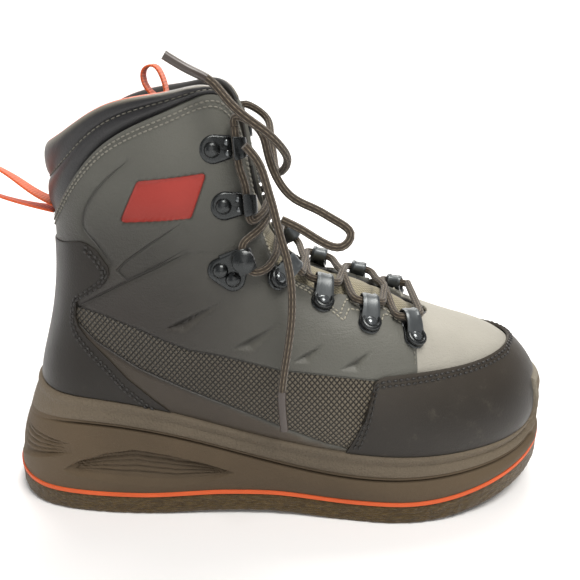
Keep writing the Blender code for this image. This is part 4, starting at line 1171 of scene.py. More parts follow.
def slash_depth(x, z, corners, deep):
    """Depth of a slanted recess and its painted shading: a wall under its rear edge, with painted shade,
    and then a face that rises to the low and front edges, with a painted highlight."""
    low, front, tip = (np.array(c, float) for c in corners)
    length = np.linalg.norm(tip - low)
    way = (tip - low) / length
    ahead = (x - low[0]) * way[0] + (z - low[1]) * way[1]
    across = (x - low[0]) * way[1] - (z - low[1]) * way[0]
    corner = (front - low) @ way
    widest = (front[0] - low[0]) * way[1] - (front[1] - low[1]) * way[0]
    narrow = np.clip(np.minimum((ahead + 0.8) / (corner + 0.8), (length - ahead) / (length - corner)), 0, 1)
    share = across / (widest * np.maximum(narrow, 0.02))
    form = smooth_step(share, -0.16, 0.26) * np.clip((1.0 - share) / 0.70, 0, 1)
    # Painted shade under the rear edge, and a painted highlight on the rising face.
    dark = np.exp(-(((share - 0.10) / 0.17) ** 2))
    pale = smooth_step(share, 0.35, 0.7) * (1 - smooth_step(share, 0.93, 1.03))
    return deep * form * narrow**0.8, (dark * 0.9 - pale * 0.8) * np.sqrt(narrow)


def relief(x, z):
    """How far the upper's face stands out at places of the side view, and the marks painted there, with
    painted shade in its recesses, creases and grooves.
    """
    sizes = bpy.context.scene.boot_sizes
    quarter = 1 - smooth_step(x, VAMP_SEAM - 0.5, VAMP_SEAM + 0.5)
    top = height_of(UPPER_BAND, x)
    bottom = height_of(LOWER_BAND, x)
    inside_band = np.minimum(np.minimum(top - z, z - bottom), np.minimum(x + 40, 168 - x)) * 0.93
    below = smooth_step(bottom - z, 0.6, 2.4) * smooth_step(x, -2, 6) * (1 - smooth_step(x, 150, 166))
    depth, hollow = np.zeros(x.shape), np.zeros(x.shape)
    # Each slash paints shade under its rear edge and a painted highlight on its rising face.
    for corners in SLASHES:
        cut, shade = slash_depth(x, z, corners, sizes.slash_depth / MM)
        depth, hollow = np.maximum(depth, cut), hollow + shade
    fade = 1 - smooth_step(x, 46, 70)
    lens = shape_distance(x, z, LENS_PANEL)
    panel = smooth_step(-lens, -0.6, 0.7) * fade
    depth = np.maximum(depth, panel * 1.1)
    # Painted shade inside the recessed lens panel.
    hollow = hollow + panel * 0.2
    lozenge = 1.6 - shape_distance(x, z, LOZENGE)
    red = smooth_step(lozenge, -0.5, 0.5)
    depth = np.maximum(depth, red * 1.7)
    marks = {"band": inside_band, "lozenge": lozenge, "lens": lens / np.maximum(fade, 0.02)}
    for key, crease, width, deep in (("crease", HEEL_CREASE, 1.5, 0.8), ("fold", STRAIGHT_CREASE, 1.6, 0.7)):
        line = smooth_line(crease, 30)
        away = line_distance(x, z, line)
        fold = np.exp(-((away / width) ** 2))
        depth = np.maximum(depth, fold * deep)
        # Painted shade along the crease.
        hollow = hollow + fold * 0.25
        if key == "crease":
            upright = line[np.argsort(line[:, 1])]
            side = x - np.interp(z, upright[:, 1], upright[:, 0])
        else:
            side = z - np.interp(x, line[:, 0], line[:, 1])
        ends = np.min([np.hypot(x - p[0], z - p[1]) for p in (line[0], line[-1])], axis=0)
        marks[key] = np.sign(side) * away / np.clip(ends / 14.0, 0.02, 1)
    over = smooth_step(z - height_of(STRAIGHT_CREASE, x), -1.0, 1.0)
    near_ankle = (1 - smooth_step(x, 55, 80)) * over
    for edge, width in ((bottom, 1.0), (top, 0.8)):
        groove = np.exp(-(((z - edge) / width) ** 2)) * smooth_step(x, -30, -10) * (1 - smooth_step(x, 164, 168))
        depth = np.maximum(depth, groove * 0.6)
        # Painted shade along the band's edge grooves.
        hollow = hollow + groove * 0.4
    padding = 0.9 * smooth_step(z, 158, 178) * (1 - smooth_step(x, 60, 100)) + 0.5 * near_ankle
    raised = (quarter * sizes.quarter_step / MM + padding * quarter) - depth + below * 0.5
    marks.update(hollow=np.clip(hollow, -1, 1), plain=np.clip(below + red, 0, 1))
    return raised, marks


def raised_at(u, v):
    """How far the finished upper stands out from the plain one at u and v."""
    face = last_point(u, v)
    return relief(face[:, 0], face[:, 2])[0]


def fine_collar(rows, columns):
    """The padded collar: rings round its section, from one side of the tongue to the other."""
    u = np.linspace(-station(3.86), station(3.86), rows)
    drop = np.maximum(along(COLLAR_DROP, u), 0)
    start = v_below_top(u, drop - 0.45)
    pad = smooth_step(drop, 0, 12)
    profile = np.array([
        (0, -0.5), (0.08, 1.2), (0.26, 2.9), (0.46, 2.3), (0.54, 0.9), (0.62, 2.0), (0.80, 2.4), (0.96, 0.8),
        (1.03, -2.2), (0.98, -5.2), (0.8, -7.2), (0.4, -8.0), (0, -6.0),
    ])
    knots = np.arange(len(profile) + 1)
    t = np.linspace(0, len(profile), columns)
    line = cubic_weights(knots, t, True) @ profile
    around = cubic_weights(knots, t, True) @ np.eye(len(profile))
    grid = []
    for i in range(rows):
        offset = line[:, 1]
        inner = -2 + (offset + 2) * (0.25 + 0.75 * pad[i])
        scaled = np.where(offset > 0, offset * pad[i], np.where(offset > -2, offset, inner))
        share = np.clip(line[:, 0], -0.02, 1.0)
        ring = last_offset(np.full(columns, u[i]), start[i] + (1 - start[i]) * share, scaled)
        ring[:, 2] += (np.clip(line[:, 0], 1.0, None) - 1.0) * max(drop[i], 10.0)
        grid.append(ring)
    grid = np.array(grid)
    rear = 1 - smooth_step(np.abs(u), station(2.7), station(3.1))
    trim = np.exp(-((t - 7.8) / 0.5) ** 2) * rear[:, None]
    lining = np.broadcast_to(smooth_step(t, 8.4, 8.7) * (1 - smooth_step(t, 12.3, 12.6)), grid.shape[:2])
    # Painted highlight along the upper roll, which the material reads as top.
    roll_highlight_mark = np.broadcast_to(np.interp(t, [5.5, 7.2, 8.0], [0.0, 1.0, 0.6], 0, 0), grid.shape[:2])
    ends = []
    for ring in (grid[0], grid[-1]):
        middle = ring.mean(axis=0)
        ends.append([ring + (middle - ring) * s for s in (0.35, 0.75, 1.0)])
    grid = np.concatenate([np.array(ends[0][::-1]), grid, np.array(ends[1])])
    marks = {"trim": trim, "lining": lining, "top": roll_highlight_mark}
    return grid, {key: np.pad(values, ((3, 3), (0, 0)), mode="edge") for key, values in marks.items()}


def wall_recess(u, share, place):
    """Depth of the ribbed recesses in the midsole's lower wall."""
    where = station_index(u)
    x, z = place[:, 0], place[:, 2]
    inside = -shape_distance(x, z, HEEL_LENS)
    top = height_of(HEEL_LENS[:HEEL_LENS_TOP], x)
    low_edge = sorted([HEEL_LENS[0], *HEEL_LENS[HEEL_LENS_TOP - 1 :]])
    bottom = height_of(low_edge, x)
    h = np.clip((z - bottom) / np.maximum(top - bottom, 0.5), 0, 1)
    inner = np.clip((h - 0.26) / 0.74, 0, 1)
    ribs = inner * 5.0 + 0.35 * np.sin(np.clip((x + 9) / 99, 0, 1) * math.pi)
    saw = 1 - np.abs(np.sin(math.pi * ribs))
    facet = smooth_step(h, 0.0, 0.30) ** 0.8
    depth = (2.7 * facet + 0.5 * inner + 1.1 * smooth_step(h, 0.24, 0.34) * (saw - 0.3))
    depth *= smooth_step(inside, 0.0, 1.0) * np.clip((top - bottom) / 9.0, 0, 1)
    depth *= (where > 0.9) & (where < 5)
    along_fan = (where - 0.22) / 1.5
    s = np.clip(along_fan, 0, 1)
    low, high = 0.08 + 0.50 * s, 0.93 - 0.22 * s
    t = (share - low) / (high - low)
    wave = t * 5.0 + 0.4 * s
    saw = 1 - np.abs(np.sin(math.pi * wave))
    fan = (1.0 + 1.2 * (1 - t) + 1.1 * (saw - 0.3)) * smooth_step(t, 0.0, 0.12) * (1 - smooth_step(t, 0.94, 1.0))
    taper = np.clip(np.minimum((where - 0.12) / 0.15, (1.74 - where) / 0.35), 0, 1)
    return np.where(depth > 0, depth, np.where((along_fan > -0.2) & (along_fan < 1), np.maximum(0, fan) * taper, 0))


def fine_midsole():
    """The cup: its lower wall with recesses, the ledge, the rim and the floor under the footbed."""
    half = np.concatenate([np.linspace(0, station(4.2), 230, endpoint=False), np.linspace(station(4.2), 0.5, 90)])
    u = np.concatenate([half, 1 - half[-2::-1]])
    where = station_index(u)
    outward = np.column_stack([outline_point(u, -1) - outline_point(u, 0), np.zeros(len(u))])
    rim_v, low_v = v_at_height(u, rim_height(u)), v_at_height(u, along(RIM_HEIGHT, u))
    base = lower_wall(u, np.zeros(len(u)))
    none, toe = np.zeros(len(u)), 1 - smooth_step(toe_distance(u), 0.62, 0.80)
    rings, hollow, worn, pebbled = [], [], [], []

    # The marks of each ring: painted shade in recesses and grooves, painted light on the toe's lip, and the pebbled
    # texture.
    def add(ring, dark=none, wear_and_light=none, rough=none):
        rings.append(ring)
        hollow.append(dark)
        worn.append(wear_and_light)
        pebbled.append(rough)

    for ring in to_middle(base, (1.0, 0.75, 0.5, 0.25, 0.06)):
        add(ring)
    for share in np.linspace(0, 1, 64):
        wall = lower_wall(u, np.full(len(u), share))
        depth = wall_recess(u, np.full(len(u), share), wall)
        # Painted shade in the deepest parts of the recesses.
        add(wall - outward * depth[:, None], np.clip((depth - 2.3) / 1.6, 0, 0.6))
    # Painted shade along the groove under the ledge and along the rim's line.
    groove = smooth_step(where, 1.1, 2.0) * (1 - 0.9 * toe)
    ledge, low_rim = ledge_ring(u, 0.7, 2.0), rim_ring(u, 4.2, below=6.0)
    add(ledge_ring(u, -0.55, 0.8) - outward * (groove * 0.8)[:, None], groove * 0.6)
    add(ledge_ring(u, -0.2, 1.2) - outward * (groove * 1.9)[:, None], groove)
    add(ledge_ring(u, 0.3, 1.6) - outward * (groove * 1.7)[:, None], groove)
    add(ledge + outward * 0.2, groove * 0.3)
    full = none + 1
    for share in (0.08, 0.14, 0.19, 0.25, 0.4, 0.55, 0.7, 0.85, 1.0):
        line = math.exp(-(((share - 0.165) / 0.035) ** 2))
        bulge = 0.9 * math.sin(math.pi * share) - line * 0.7
        out = 0.2 + bulge * (0.4 + 0.6 * groove)
        ring = ledge + (low_rim - ledge) * share + outward * out[:, None]
        add(ring, groove * line, none, full * (share > 0.2))
    lip = (
        (4.4, 4.6), (4.5, 3.4), (4.4, 2.4), (4.1, 1.4), (3.6, 0.7), (2.9, 0.25), (2.0, 0.0), (1.2, 0.0), (0.5, 0.3),
    )
    # Painted highlight on the top of the toe's lip.
    for margin, below in lip:
        add(rim_ring(u, margin, below=below), none, toe * 0.9 * (below < 2), full)
    seat = last_offset(u, 0.0, 1.0)
    seat[:, 2] = along([row[3] for row in SEAT], u) * SCALE[2] - GAP - 1.0
    inside = last_offset(u, rim_v * 0.5 + low_v * 0.42, 1.0), last_offset(u, low_v * 0.5, 1.0)
    for ring in (*inside, seat, *to_middle(seat, (0.5, 1.0))):
        add(ring)
    return np.array(rings), {"hollow": np.array(hollow), "worn": np.array(worn), "pebbled": np.array(pebbled)}


def fine_felt(columns):
    """The felt: a rough side and a slightly uneven walking face."""
    u = np.linspace(0, 1, columns)
    outward = np.column_stack([outline_point(u, -1) - outline_point(u, 0), np.zeros(len(u))])
    low = sole_ring(u, 0.0, 1.3)
    rings = to_middle(low, (1.0, 0.8, 0.6, 0.4, 0.25, 0.12, 0.04))
    levels = (
        (0.0, 1.3), (0.25, 0.75), (0.8, 0.3), (1.6, 0.05), (3, 0), (4.5, 0), (6, 0), (7.5, 0), (9, 0),
        (10.4, 0.05), (FELT_THICKNESS, 0.3),
    )
    for height, margin in levels:
        ring = sole_ring(u, height, margin)
        rough = np.array([noise.noise(Vector((p[0], p[1], p[2] * 1.6)) * 0.35) for p in ring])
        rough[-1] = rough[0]
        side = 0.0 if height in (0.0, FELT_THICKNESS) else 0.45
        rings.append(ring - outward * np.clip(0.2 + rough * side, 0, 1)[:, None])
    rings += to_middle(rings[-1], (0.1, 0.5, 1.0))
    return np.array(rings)


def wedge_rings(columns):
    """The thin bright layer, slightly proud at its edge."""
    u = np.linspace(0, 1, columns)
    low = FELT_THICKNESS + GAP
    side = [(-0.4, 0.5), (-0.1, -0.15), (WEDGE_THICKNESS + 0.1, -0.15), (WEDGE_THICKNESS + 0.4, 0.5)]
    rings = [sole_ring(u, low + h, m) for h, m in side]
    return np.array([*to_middle(rings[0], (1.0, 0.5, 0.1)), *rings, *to_middle(rings[-1], (0.1, 0.5, 1.0))])


def insole_rings(columns):
    """The footbed with a rounded edge and a raised heel and arch."""
    u = np.linspace(0, 1, columns)
    floor = along([r[3] for r in SEAT], u)
    seat, out = last_point(u, 0.0), last_normal(u, 0.02)
    out[:, 2] = 0
    inside = seat - out / np.linalg.norm(out, axis=1, keepdims=True) * (WALL + 1.6)
    side = [(-0.9, 0.4), (-0.4, 0), (2.2, 0), (2.8, 0.6)]
    rings = [np.column_stack([inside[:, :2], floor + h]) for h, _ in side]
    return np.array([*to_middle(rings[0], (1.0, 0.5, 0.05)), *rings, *to_middle(rings[-1], (0.03, 0.2, 0.5, 1.0))])


def rand_grid(rows, columns):
    """u and v of the toe rand, with its rear upper corner rounded."""
    low_u, high_u = locate(*RAND_REAR_LOW)[0], locate(*RAND_REAR_HIGH)[0]
    u_grid, v_grid = np.empty((columns, rows)), np.empty((columns, rows))
    ends = np.linspace(0, RAND_CORNER, 14, endpoint=False)
    spread = np.concatenate([ends, np.linspace(RAND_CORNER, 1 - RAND_CORNER, columns - 28), 1 - ends[::-1]])
    for i, s in enumerate(spread):
        foot, head = low_u + (1 - 2 * low_u) * s, high_u + (1 - 2 * high_u) * s
        corner = max(0.0, 1 - min(s, 1 - s) / RAND_CORNER)
        drop = RAND_CORNER_DROP * (1 - math.sqrt(1 - corner**2))
        head_v = v_at_height(head, along(RAND_HEIGHT, head) - drop)
        share = np.linspace(0, 1, rows)
        u = foot + (head - foot) * share
        v_foot = v_at_height(u, rim_height(u, RAND_MARGIN) + 0.6)
        u_grid[i], v_grid[i] = u, v_foot + (head_v - v_foot) * share
    return u_grid, v_grid


def counter_grid(rows, columns):
    """u and v of the heel counter, cut along its curved side."""
    edge = np.array([locate(x, z) for x, z in COUNTER_SIDE])
    edge = edge[np.argsort(edge[:, 1])]
    low, high = edge[0, 1], edge[-1, 1]
    u_grid, v_grid = np.empty((rows, columns)), np.empty((rows, columns))
    for i, share in enumerate(np.linspace(0, 1, rows)):
        v_side = low + (high - low) * share
        half = np.interp(v_side, edge[:, 1], edge[:, 0])
        corner = np.clip((share - 0.955) / 0.045, 0, 1)
        half -= 0.010 * (1 - math.sqrt(1 - corner**2))
        u = np.linspace(-half, half, columns)
        v_foot = v_at_height(u, rim_height(u) + 0.5)
        u_grid[i], v_grid[i] = u, v_foot + (high - v_foot) * share
    return u_grid, v_grid


def fine_tongue(rows, columns):
    """The tongue's closed section along its length, with soft cross channels."""
    front, normal = tongue_face(rows, columns)
    t = np.linspace(0, 1, rows)[:, None]
    across = np.linspace(-1, 1, columns)[None]
    channel = np.abs(np.sin(math.pi * (t * 9.0))) ** 0.35
    pad = np.clip(channel * (1 - np.abs(across) ** 6), 0, 1)
    face = front + normal * ((pad - 0.75) * 1.2)[..., None]
    back = front - normal * TONGUE_THICKNESS
    left = (front[:, :1] + back[:, :1]) / 2 + (front[:, :1] - front[:, 1:2]) * 0.8
    right = (front[:, -1:] + back[:, -1:]) / 2 + (front[:, -1:] - front[:, -2:-1]) * 0.8
    ring = np.concatenate([face, right, back[:, ::-1], left, face[:, :1]], axis=1)
    padded_mark = np.concatenate([pad, pad[:, -1:], np.ones_like(pad), pad[:, :1], pad[:, :1]], axis=1)
    ends = []
    for section in (ring[0], ring[-1]):
        centre = (section[:columns] + section[columns + 1 : 2 * columns + 1][::-1]) / 2
        target = np.concatenate([centre, centre[-1:], centre[::-1], centre[:1], centre[:1]])
        ends.append([section + (target - section) * s for s in (0.4, 1.0)])
    ring = np.concatenate([np.array(ends[0][::-1]), ring, np.array(ends[1])])
    padded_mark = np.concatenate([padded_mark[:1]] * 2 + [padded_mark] + [padded_mark[-1:]] * 2)
    return ring, padded_mark


def rounded_box(width, thickness, count, ridges=0.0):
    """A closed section, wide and thin with round edges. Ridges run along its outer side."""
    angle = np.linspace(0, 2 * math.pi, count)
    power = 0.35
    a = np.sign(np.cos(angle)) * np.abs(np.cos(angle)) ** power * width / 2
    b = np.sign(np.sin(angle)) * np.abs(np.sin(angle)) ** power * thickness / 2
    b = b + np.where(b > 0, ridges * np.cos(a / width * 2 * math.pi * 3) * (1 - np.abs(2 * a / width) ** 4), 0)
    return a, b


def bent_strip(line, width, thickness, count=36, steps=24, ridges=0.0, taper=None):
    """Rings of a strip bent along x and z points, its width along Y, with closed ends."""
    line = smooth_line(line, count)
    tangent = np.gradient(line, axis=0)
    tangent /= np.linalg.norm(tangent, axis=1, keepdims=True)
    out = np.column_stack([-tangent[:, 1], tangent[:, 0]])
    a, b = rounded_box(1.0, thickness, steps, ridges)
    wide = np.full(count, width) if taper is None else np.interp(np.linspace(0, 1, count), *taper)
    rings = []
    for i in range(count):
        ring = np.column_stack([line[i, 0] + out[i, 0] * b, a * wide[i], line[i, 1] + out[i, 1] * b])
        rings.append(ring)
    caps = []
    for ring, way in ((rings[0], -tangent[0]), (rings[-1], tangent[-1])):
        middle = ring.mean(axis=0)
        push = np.array([way[0], 0, way[1]])
        drawn_in = ((0.5, 0.35), (1.0, 0.5))
        cap = [ring + (middle - ring) * np.array([s, s * 0.25, s]) + push * p for s, p in drawn_in]
        caps.append([*cap, np.repeat(middle[None] + push * 0.5, len(ring), axis=0)])
    return np.array([*caps[0][::-1], *rings, *caps[1]])


def turned(profile, steps=28, x=0.0, y=0.0, stretch=1.0):
    """Rings of a round piece from radius and height pairs; a radius of 0 closes it."""
    angle = np.linspace(0, 2 * math.pi, steps)
    wide, deep = np.cos(angle), np.sin(angle)
    return np.array([
        np.column_stack([x + r * wide * stretch, y + r * deep, np.full(steps, h)]) for r, h in profile
    ])


def seated(points, seat):
    """Points of a piece's own frame moved to its seat on the upper."""
    matrix = np.array(seat)
    return points @ matrix[:3, :3].T + matrix[:3, 3]


def stamped(discs, levels, count=41):
    """Rings of a plate whose outline goes round several discs, from inset and height pairs."""
    outline = hull_of_discs(discs, count)
    middle = outline.mean(axis=0)
    rings = []
    for inset, height in levels:
        away = outline - middle
        size = np.linalg.norm(away, axis=1, keepdims=True)
        flat = middle + away * np.clip(1 - inset / size, 0.001, None)
        rings.append(np.column_stack([flat, np.full(count, height)]))
    return np.array(rings)


def loop_parts(dark, strap, bright):
    """A lace loop: its bent strap, its plate, its washer and its rivet."""
    taper = ((0, 0.25, 0.5, 1.0), (10.6, 9.6, 8.8, 8.6))
    plate_edge = [(99, 0.3), (0, 0.3), (-0.2, 0.8), (0, 1.3), (0.7, 1.7), (99, 1.7)]
    washer = [
        (0.01, 1.4), (5.4, 2.0), (5.9, 3.4), (5.8, 4.3), (5.2, 4.9), (4.3, 5.0), (3.7, 4.6), (3.5, 4.0), (0.01, 4.0),
    ]
    rivet = [(0.01, 3.8), (2.9, 3.9), (2.8, 4.4), (2.1, 4.9), (1.0, 5.15), (0.01, 5.2)]
    return [
        (bent_strip(LOOP_LINE, 9.0, 1.3, ridges=0.30, taper=taper), strap),
        (stamped([(-2, 0, 6.0), (3.5, 0, 4.6)], plate_edge), dark),
        (turned(washer, x=-2), dark),
        (turned(rivet, x=-2), bright),
    ]


def hook_parts(dark, bright):
    """An open hook: its bent strip, its plate, its rivet and two small studs."""
    taper = ((0, 0.30, 0.5, 0.62, 0.8, 1.0), (11.0, 9.0, 7.0, 7.4, 10.0, 11.4))
    plate_edge = [(99, 0.3), (0, 0.3), (-0.3, 0.9), (0, 1.6), (0.8, 2.2), (1.7, 2.35), (99, 2.35)]
    rivet = [(0.01, 2.0), (4.1, 2.2), (4.0, 3.0), (3.2, 3.9), (1.8, 4.5), (0.01, 4.7)]
    stud = [(0.01, 2.2), (1.5, 2.3), (1.4, 2.8), (0.8, 3.2), (0.01, 3.3)]
    return [
        (bent_strip(HOOK_LINE, 9.0, 1.5, taper=taper), dark),
        (stamped([(-0.5, 0, 7.0), (6.5, 2.2, 3.6), (6.5, -2.2, 3.6)], plate_edge), dark),
        (turned(rivet, x=-1.5), dark),
        (turned(stud, 14, x=6.2, y=2.6), bright),
        (turned(stud, 14, x=6.2, y=-2.6), bright),
    ]


def lock_parts(dark):
    """A lock hook: its bent strip, its plate, its round head and two rivets."""
    taper = ((0, 0.35, 0.5, 0.65, 0.85, 1.0), (12, 12, 9.0, 10.5, 13.0, 12.0))
    plate_edge = [(99, 0.3), (0, 0.3), (-0.3, 0.9), (0, 1.7), (0.9, 2.3), (1.9, 2.4), (99, 2.4)]
    head = [(0.01, 8.4), (5.6, 8.8), (6.2, 9.6), (5.8, 10.8), (3.8, 12.0), (0.01, 12.5)]
    rivet = [(0.01, 2.2), (4.0, 2.3), (4.0, 3.0), (3.1, 4.1), (1.7, 4.8), (0.01, 5.0)]
    return [
        (bent_strip(LOCK_LINE, 11.0, 1.5, taper=taper), dark),
        (stamped([(-3.0, -1.5, 6.2), (1.5, -8.0, 6.2), (8.0, 0.5, 5.0)], plate_edge), dark),
        (turned(head, x=9.5, stretch=0.95), dark),
        (turned(rivet, x=-3.0, y=-1.5), dark),
        (turned(rivet, x=1.5, y=-8.0), dark),
    ]


def softened(points, reach=3.2, spacing=1.5):
    """Even points along a route with its corners rounded."""
    points = np.array(points, float)
    length = distances(points)
    count = max(8, round(length[-1] / spacing) + 1)
    even = np.linspace(0, length[-1], count)
    line = read_at(even, length, points)
    width = int(3 * reach / spacing)
    kernel = np.exp(-((np.arange(-width, width + 1) * spacing / reach) ** 2) / 2)
    kernel /= kernel.sum()
    padded = np.vstack([2 * line[0] - line[width:0:-1], line, 2 * line[-1] - line[-2 : -width - 2 : -1]])
    soft = np.column_stack([np.convolve(padded[:, i], kernel, "valid") for i in range(3)])
    soft[0], soft[-1] = line[0], line[-1]
    return soft


def tube(name, line, radius, steps=15):
    """A round cord round a line of points, with closed ends and a UV map in turns of its braid."""
    tangent = np.gradient(line, axis=0)
    tangent /= np.linalg.norm(tangent, axis=1, keepdims=True)
    side = np.cross(tangent[0], (0.3, 0.2, 1.0))
    side /= np.linalg.norm(side)
    angle = np.linspace(0, 2 * math.pi, steps)
    rings = []
    for place, way in zip(line, tangent):
        side = side - way * side.dot(way)
        side /= np.linalg.norm(side)
        up = np.cross(way, side)
        rings.append(place + (np.outer(np.cos(angle), side) + np.outer(np.sin(angle), up)) * radius)
    first, last = line[0], line[-1]
    caps = [np.repeat(first[None], steps, 0), first + (rings[0] - first) * 0.7]
    ends = [last + (rings[-1] - last) * 0.7, np.repeat(last[None], steps, 0)]
    length = np.linalg.norm(np.diff(line, axis=0), axis=1).sum()
    piece = lattice(name, np.array([*caps, *rings, *ends]))
    stretch_uv(piece, 1.0, length / 3.4)
    return smooth(close_up(piece), 50)


def stitch_row(name, u, v, lift, finish, slot, pitch=3.1, radius=0.42):
    """Stitches along a line on the upper, each one a short rounded thread."""
    line = last_offset(u, v, lift)
    length = distances(line)
    count = max(2, round(length[-1] / pitch))
    middles = (np.arange(count) + 0.5) / count * length[-1]
    place = read_at(middles, length, line)
    ahead = read_at(middles + 0.6, length, line)
    behind = read_at(middles - 0.6, length, line)
    out = last_normal(np.interp(middles, length, u), np.interp(middles, length, v))
    bpy.ops.object.select_all(action="DESELECT")
    bpy.ops.mesh.primitive_uv_sphere_add(segments=8, ring_count=5, radius=1)
    thread = bpy.context.object
    thread.name = name
    pieces = [thread]
    for i in range(count):
        copy = thread if i == 0 else thread.copy()
        if i:
            copy.data = thread.data.copy()
            bpy.context.collection.objects.link(copy)
            pieces.append(copy)
        way = ahead[i] - behind[i]
        way /= np.linalg.norm(way)
        side = np.cross(out[i], way)
        side /= np.linalg.norm(side)
        axes = np.column_stack([way * pitch * 0.42, side * radius, np.cross(way, side) * radius]) * MM
        copy.matrix_world = Matrix([(*row, p * MM) for row, p in zip(axes, place[i])] + [(0, 0, 0, 1)])
    pick(*pieces)
    bpy.ops.object.transform_apply(location=True, rotation=True, scale=True)
    bpy.ops.object.join()
    row = bpy.context.object
    bpy.ops.object.mode_set(mode="EDIT")
    bpy.ops.mesh.select_all(action="SELECT")
    bpy.ops.mesh.normals_make_consistent(inside=False)
    bpy.ops.object.mode_set(mode="OBJECT")
    smooth(row, 60)
    return dress(row, finish, slot)


def colour_property(name, description, tone):
    """A colour that the panel offers."""
    return bpy.props.FloatVectorProperty(
        name=name, description=description, subtype="COLOR", size=4, min=0, max=1, default=srgb(*tone),
    )


def length_property(name, description, default):
    """A length in metres that the panel offers."""
    return bpy.props.FloatProperty(
        name=name, description=description, unit="LENGTH", min=0, default=default, precision=5,
    )


class BOOT_PG_colours(bpy.types.PropertyGroup):
    """Colours of the boot's finishes."""

    quarter: colour_property("Quarter", "Grey leather of the quarters", (88, 88, 82))
    vamp: colour_property("Vamp", "Pale leather over the toes", (150, 147, 138))
    band: colour_property("Band", "Peaks of the knurled band", (100, 93, 80))
    rand: colour_property("Rand", "Dark leather of the rand and counter", (41, 37, 32))
    midsole: colour_property("Midsole", "Sandy foam of the midsole", (80, 67, 50))
    orange: colour_property("Orange", "Bright layer, lining edge and webbing", (214, 92, 44))
    lozenge: colour_property("Lozenge", "Pressed lozenge at the ankle", (168, 54, 44))
    collar: colour_property("Collar", "Dark leather of the collar", (28, 28, 30))
    lace: colour_property("Lace", "Ground colour of the lace", (58, 50, 42))


class BOOT_PG_sizes(bpy.types.PropertyGroup):
    """Small sizes of the boot's relief and trim."""

    quarter_step: length_property("Quarter step", "How far the quarters stand over the vamp", 0.0010)
    slash_depth: length_property("Slash depth", "Depth of the slanted recesses", 0.0027)
    knurl_pitch: length_property("Knurl pitch", "Distance between the diamonds of the band", 0.0029)
    stitch_pitch: length_property("Stitch pitch", "Distance between stitches", 0.0031)
    lace_radius: length_property("Lace radius", "Half the lace's thickness", 0.0021)


class BOOT_OT_upper(bpy.types.Operator):
    """Vamp and quarters as one wall round the foot, with its pressed pattern"""

    bl_idname = "boot.upper"
    bl_label = "Upper"

    def execute(self, context):
        marked_piece("upper_leather", fine_upper(rows=142), 60, upper_leather(), "upper_leather", "upper")
        return {"FINISHED"}


class BOOT_OT_collar(bpy.types.Operator):
    """Padded collar with the lining's orange edge"""

    bl_idname = "boot.collar"
    bl_label = "Collar"

    def execute(self, context):
        grid = fine_collar(rows=260, columns=79)
        piece = marked_piece("collar_padding", grid, 70, collar_leather(), "collar_leather", "collar")
        return {"FINISHED"}


class BOOT_OT_overlays(bpy.types.Operator):
    """Toe rand and heel counter"""

    bl_idname = "boot.overlays"
    bl_label = "Rand and counter"

    def execute(self, context):
        leather = rand_leather()
        for name, grid, thickness in (
            ("toe_rand_leather", rand_grid(RAND_ROWS, RAND_COLUMNS), RAND_THICKNESS),
            ("heel_counter_leather", counter_grid(rows=70, columns=120), COUNTER_THICKNESS),
        ):
            u, v = grid
            face = on_upper(u, v, OVERLAY_GAP + thickness)
            outward = last_normal(u.ravel(), v.ravel()).reshape(*u.shape, 3)
            piece = plate(name, face, outward, thickness, 0.45)
            dress(smooth(piece, 45), leather, "rand_leather", name.removesuffix("_leather"))
        return {"FINISHED"}


class BOOT_OT_midsole(bpy.types.Operator):
    """Midsole cup with its recesses, ledge, rim and toe bumper"""

    bl_idname = "boot.midsole"
    bl_label = "Midsole"

    def execute(self, context):
        marked_piece("midsole_foam", fine_midsole(), 40, sandy_foam(), "midsole_foam", "midsole")
        return {"FINISHED"}


class BOOT_OT_sole(bpy.types.Operator):
    """Felt outsole, bright layer and footbed"""

    bl_idname = "boot.sole"
    bl_label = "Sole and footbed"

    def execute(self, context):
        footbed = plain_finish("footbed_cloth", (58, 58, 58), 0.85, relief=0.3, sheen=0.2)
        for name, points, finish, slot, node in (
            ("felt_pad", fine_felt(columns=601), wool_felt(), "felt", "felt_outsole"),
            ("orange_layer", wedge_rings(columns=361), orange_rubber(), "orange_foam", "orange_wedge"),
            ("footbed", insole_rings(columns=181), footbed, "footbed", "insole"),
        ):
            dress(smooth(close_up(lattice(name, points)), 50), finish, slot, node)
        return {"FINISHED"}


class BOOT_OT_tongue(bpy.types.Operator):
    """Padded tongue with cross channels"""

    bl_idname = "boot.tongue"
    bl_label = "Tongue"

    def execute(self, context):
        points, pad = fine_tongue(rows=190, columns=49)
        piece = lattice("tongue_padding", points)
        paint(piece, "pad", pad)
        stretch_uv(piece, 60.0, 90.0)
        dress(smooth(close_up(piece), 70), tongue_cloth(), "tongue_textile", "tongue")
        piping = plain_finish("piping_cord", (26, 25, 24), 0.5, relief=0.1)
        for side, word in ((-1, "lateral"), (1, "medial")):
            u = np.linspace(station(4.45), station(8.5), 120)
            u = on_side(u, side)
            line = last_offset(u, 1.0, -1.6) + (last_point(u, 1.0) - last_point(u, 0.985)) * 0.35
            dress(tube(f"throat_piping_{word}", line, 1.15, steps=11), piping, "upper_leather")
        return {"FINISHED"}


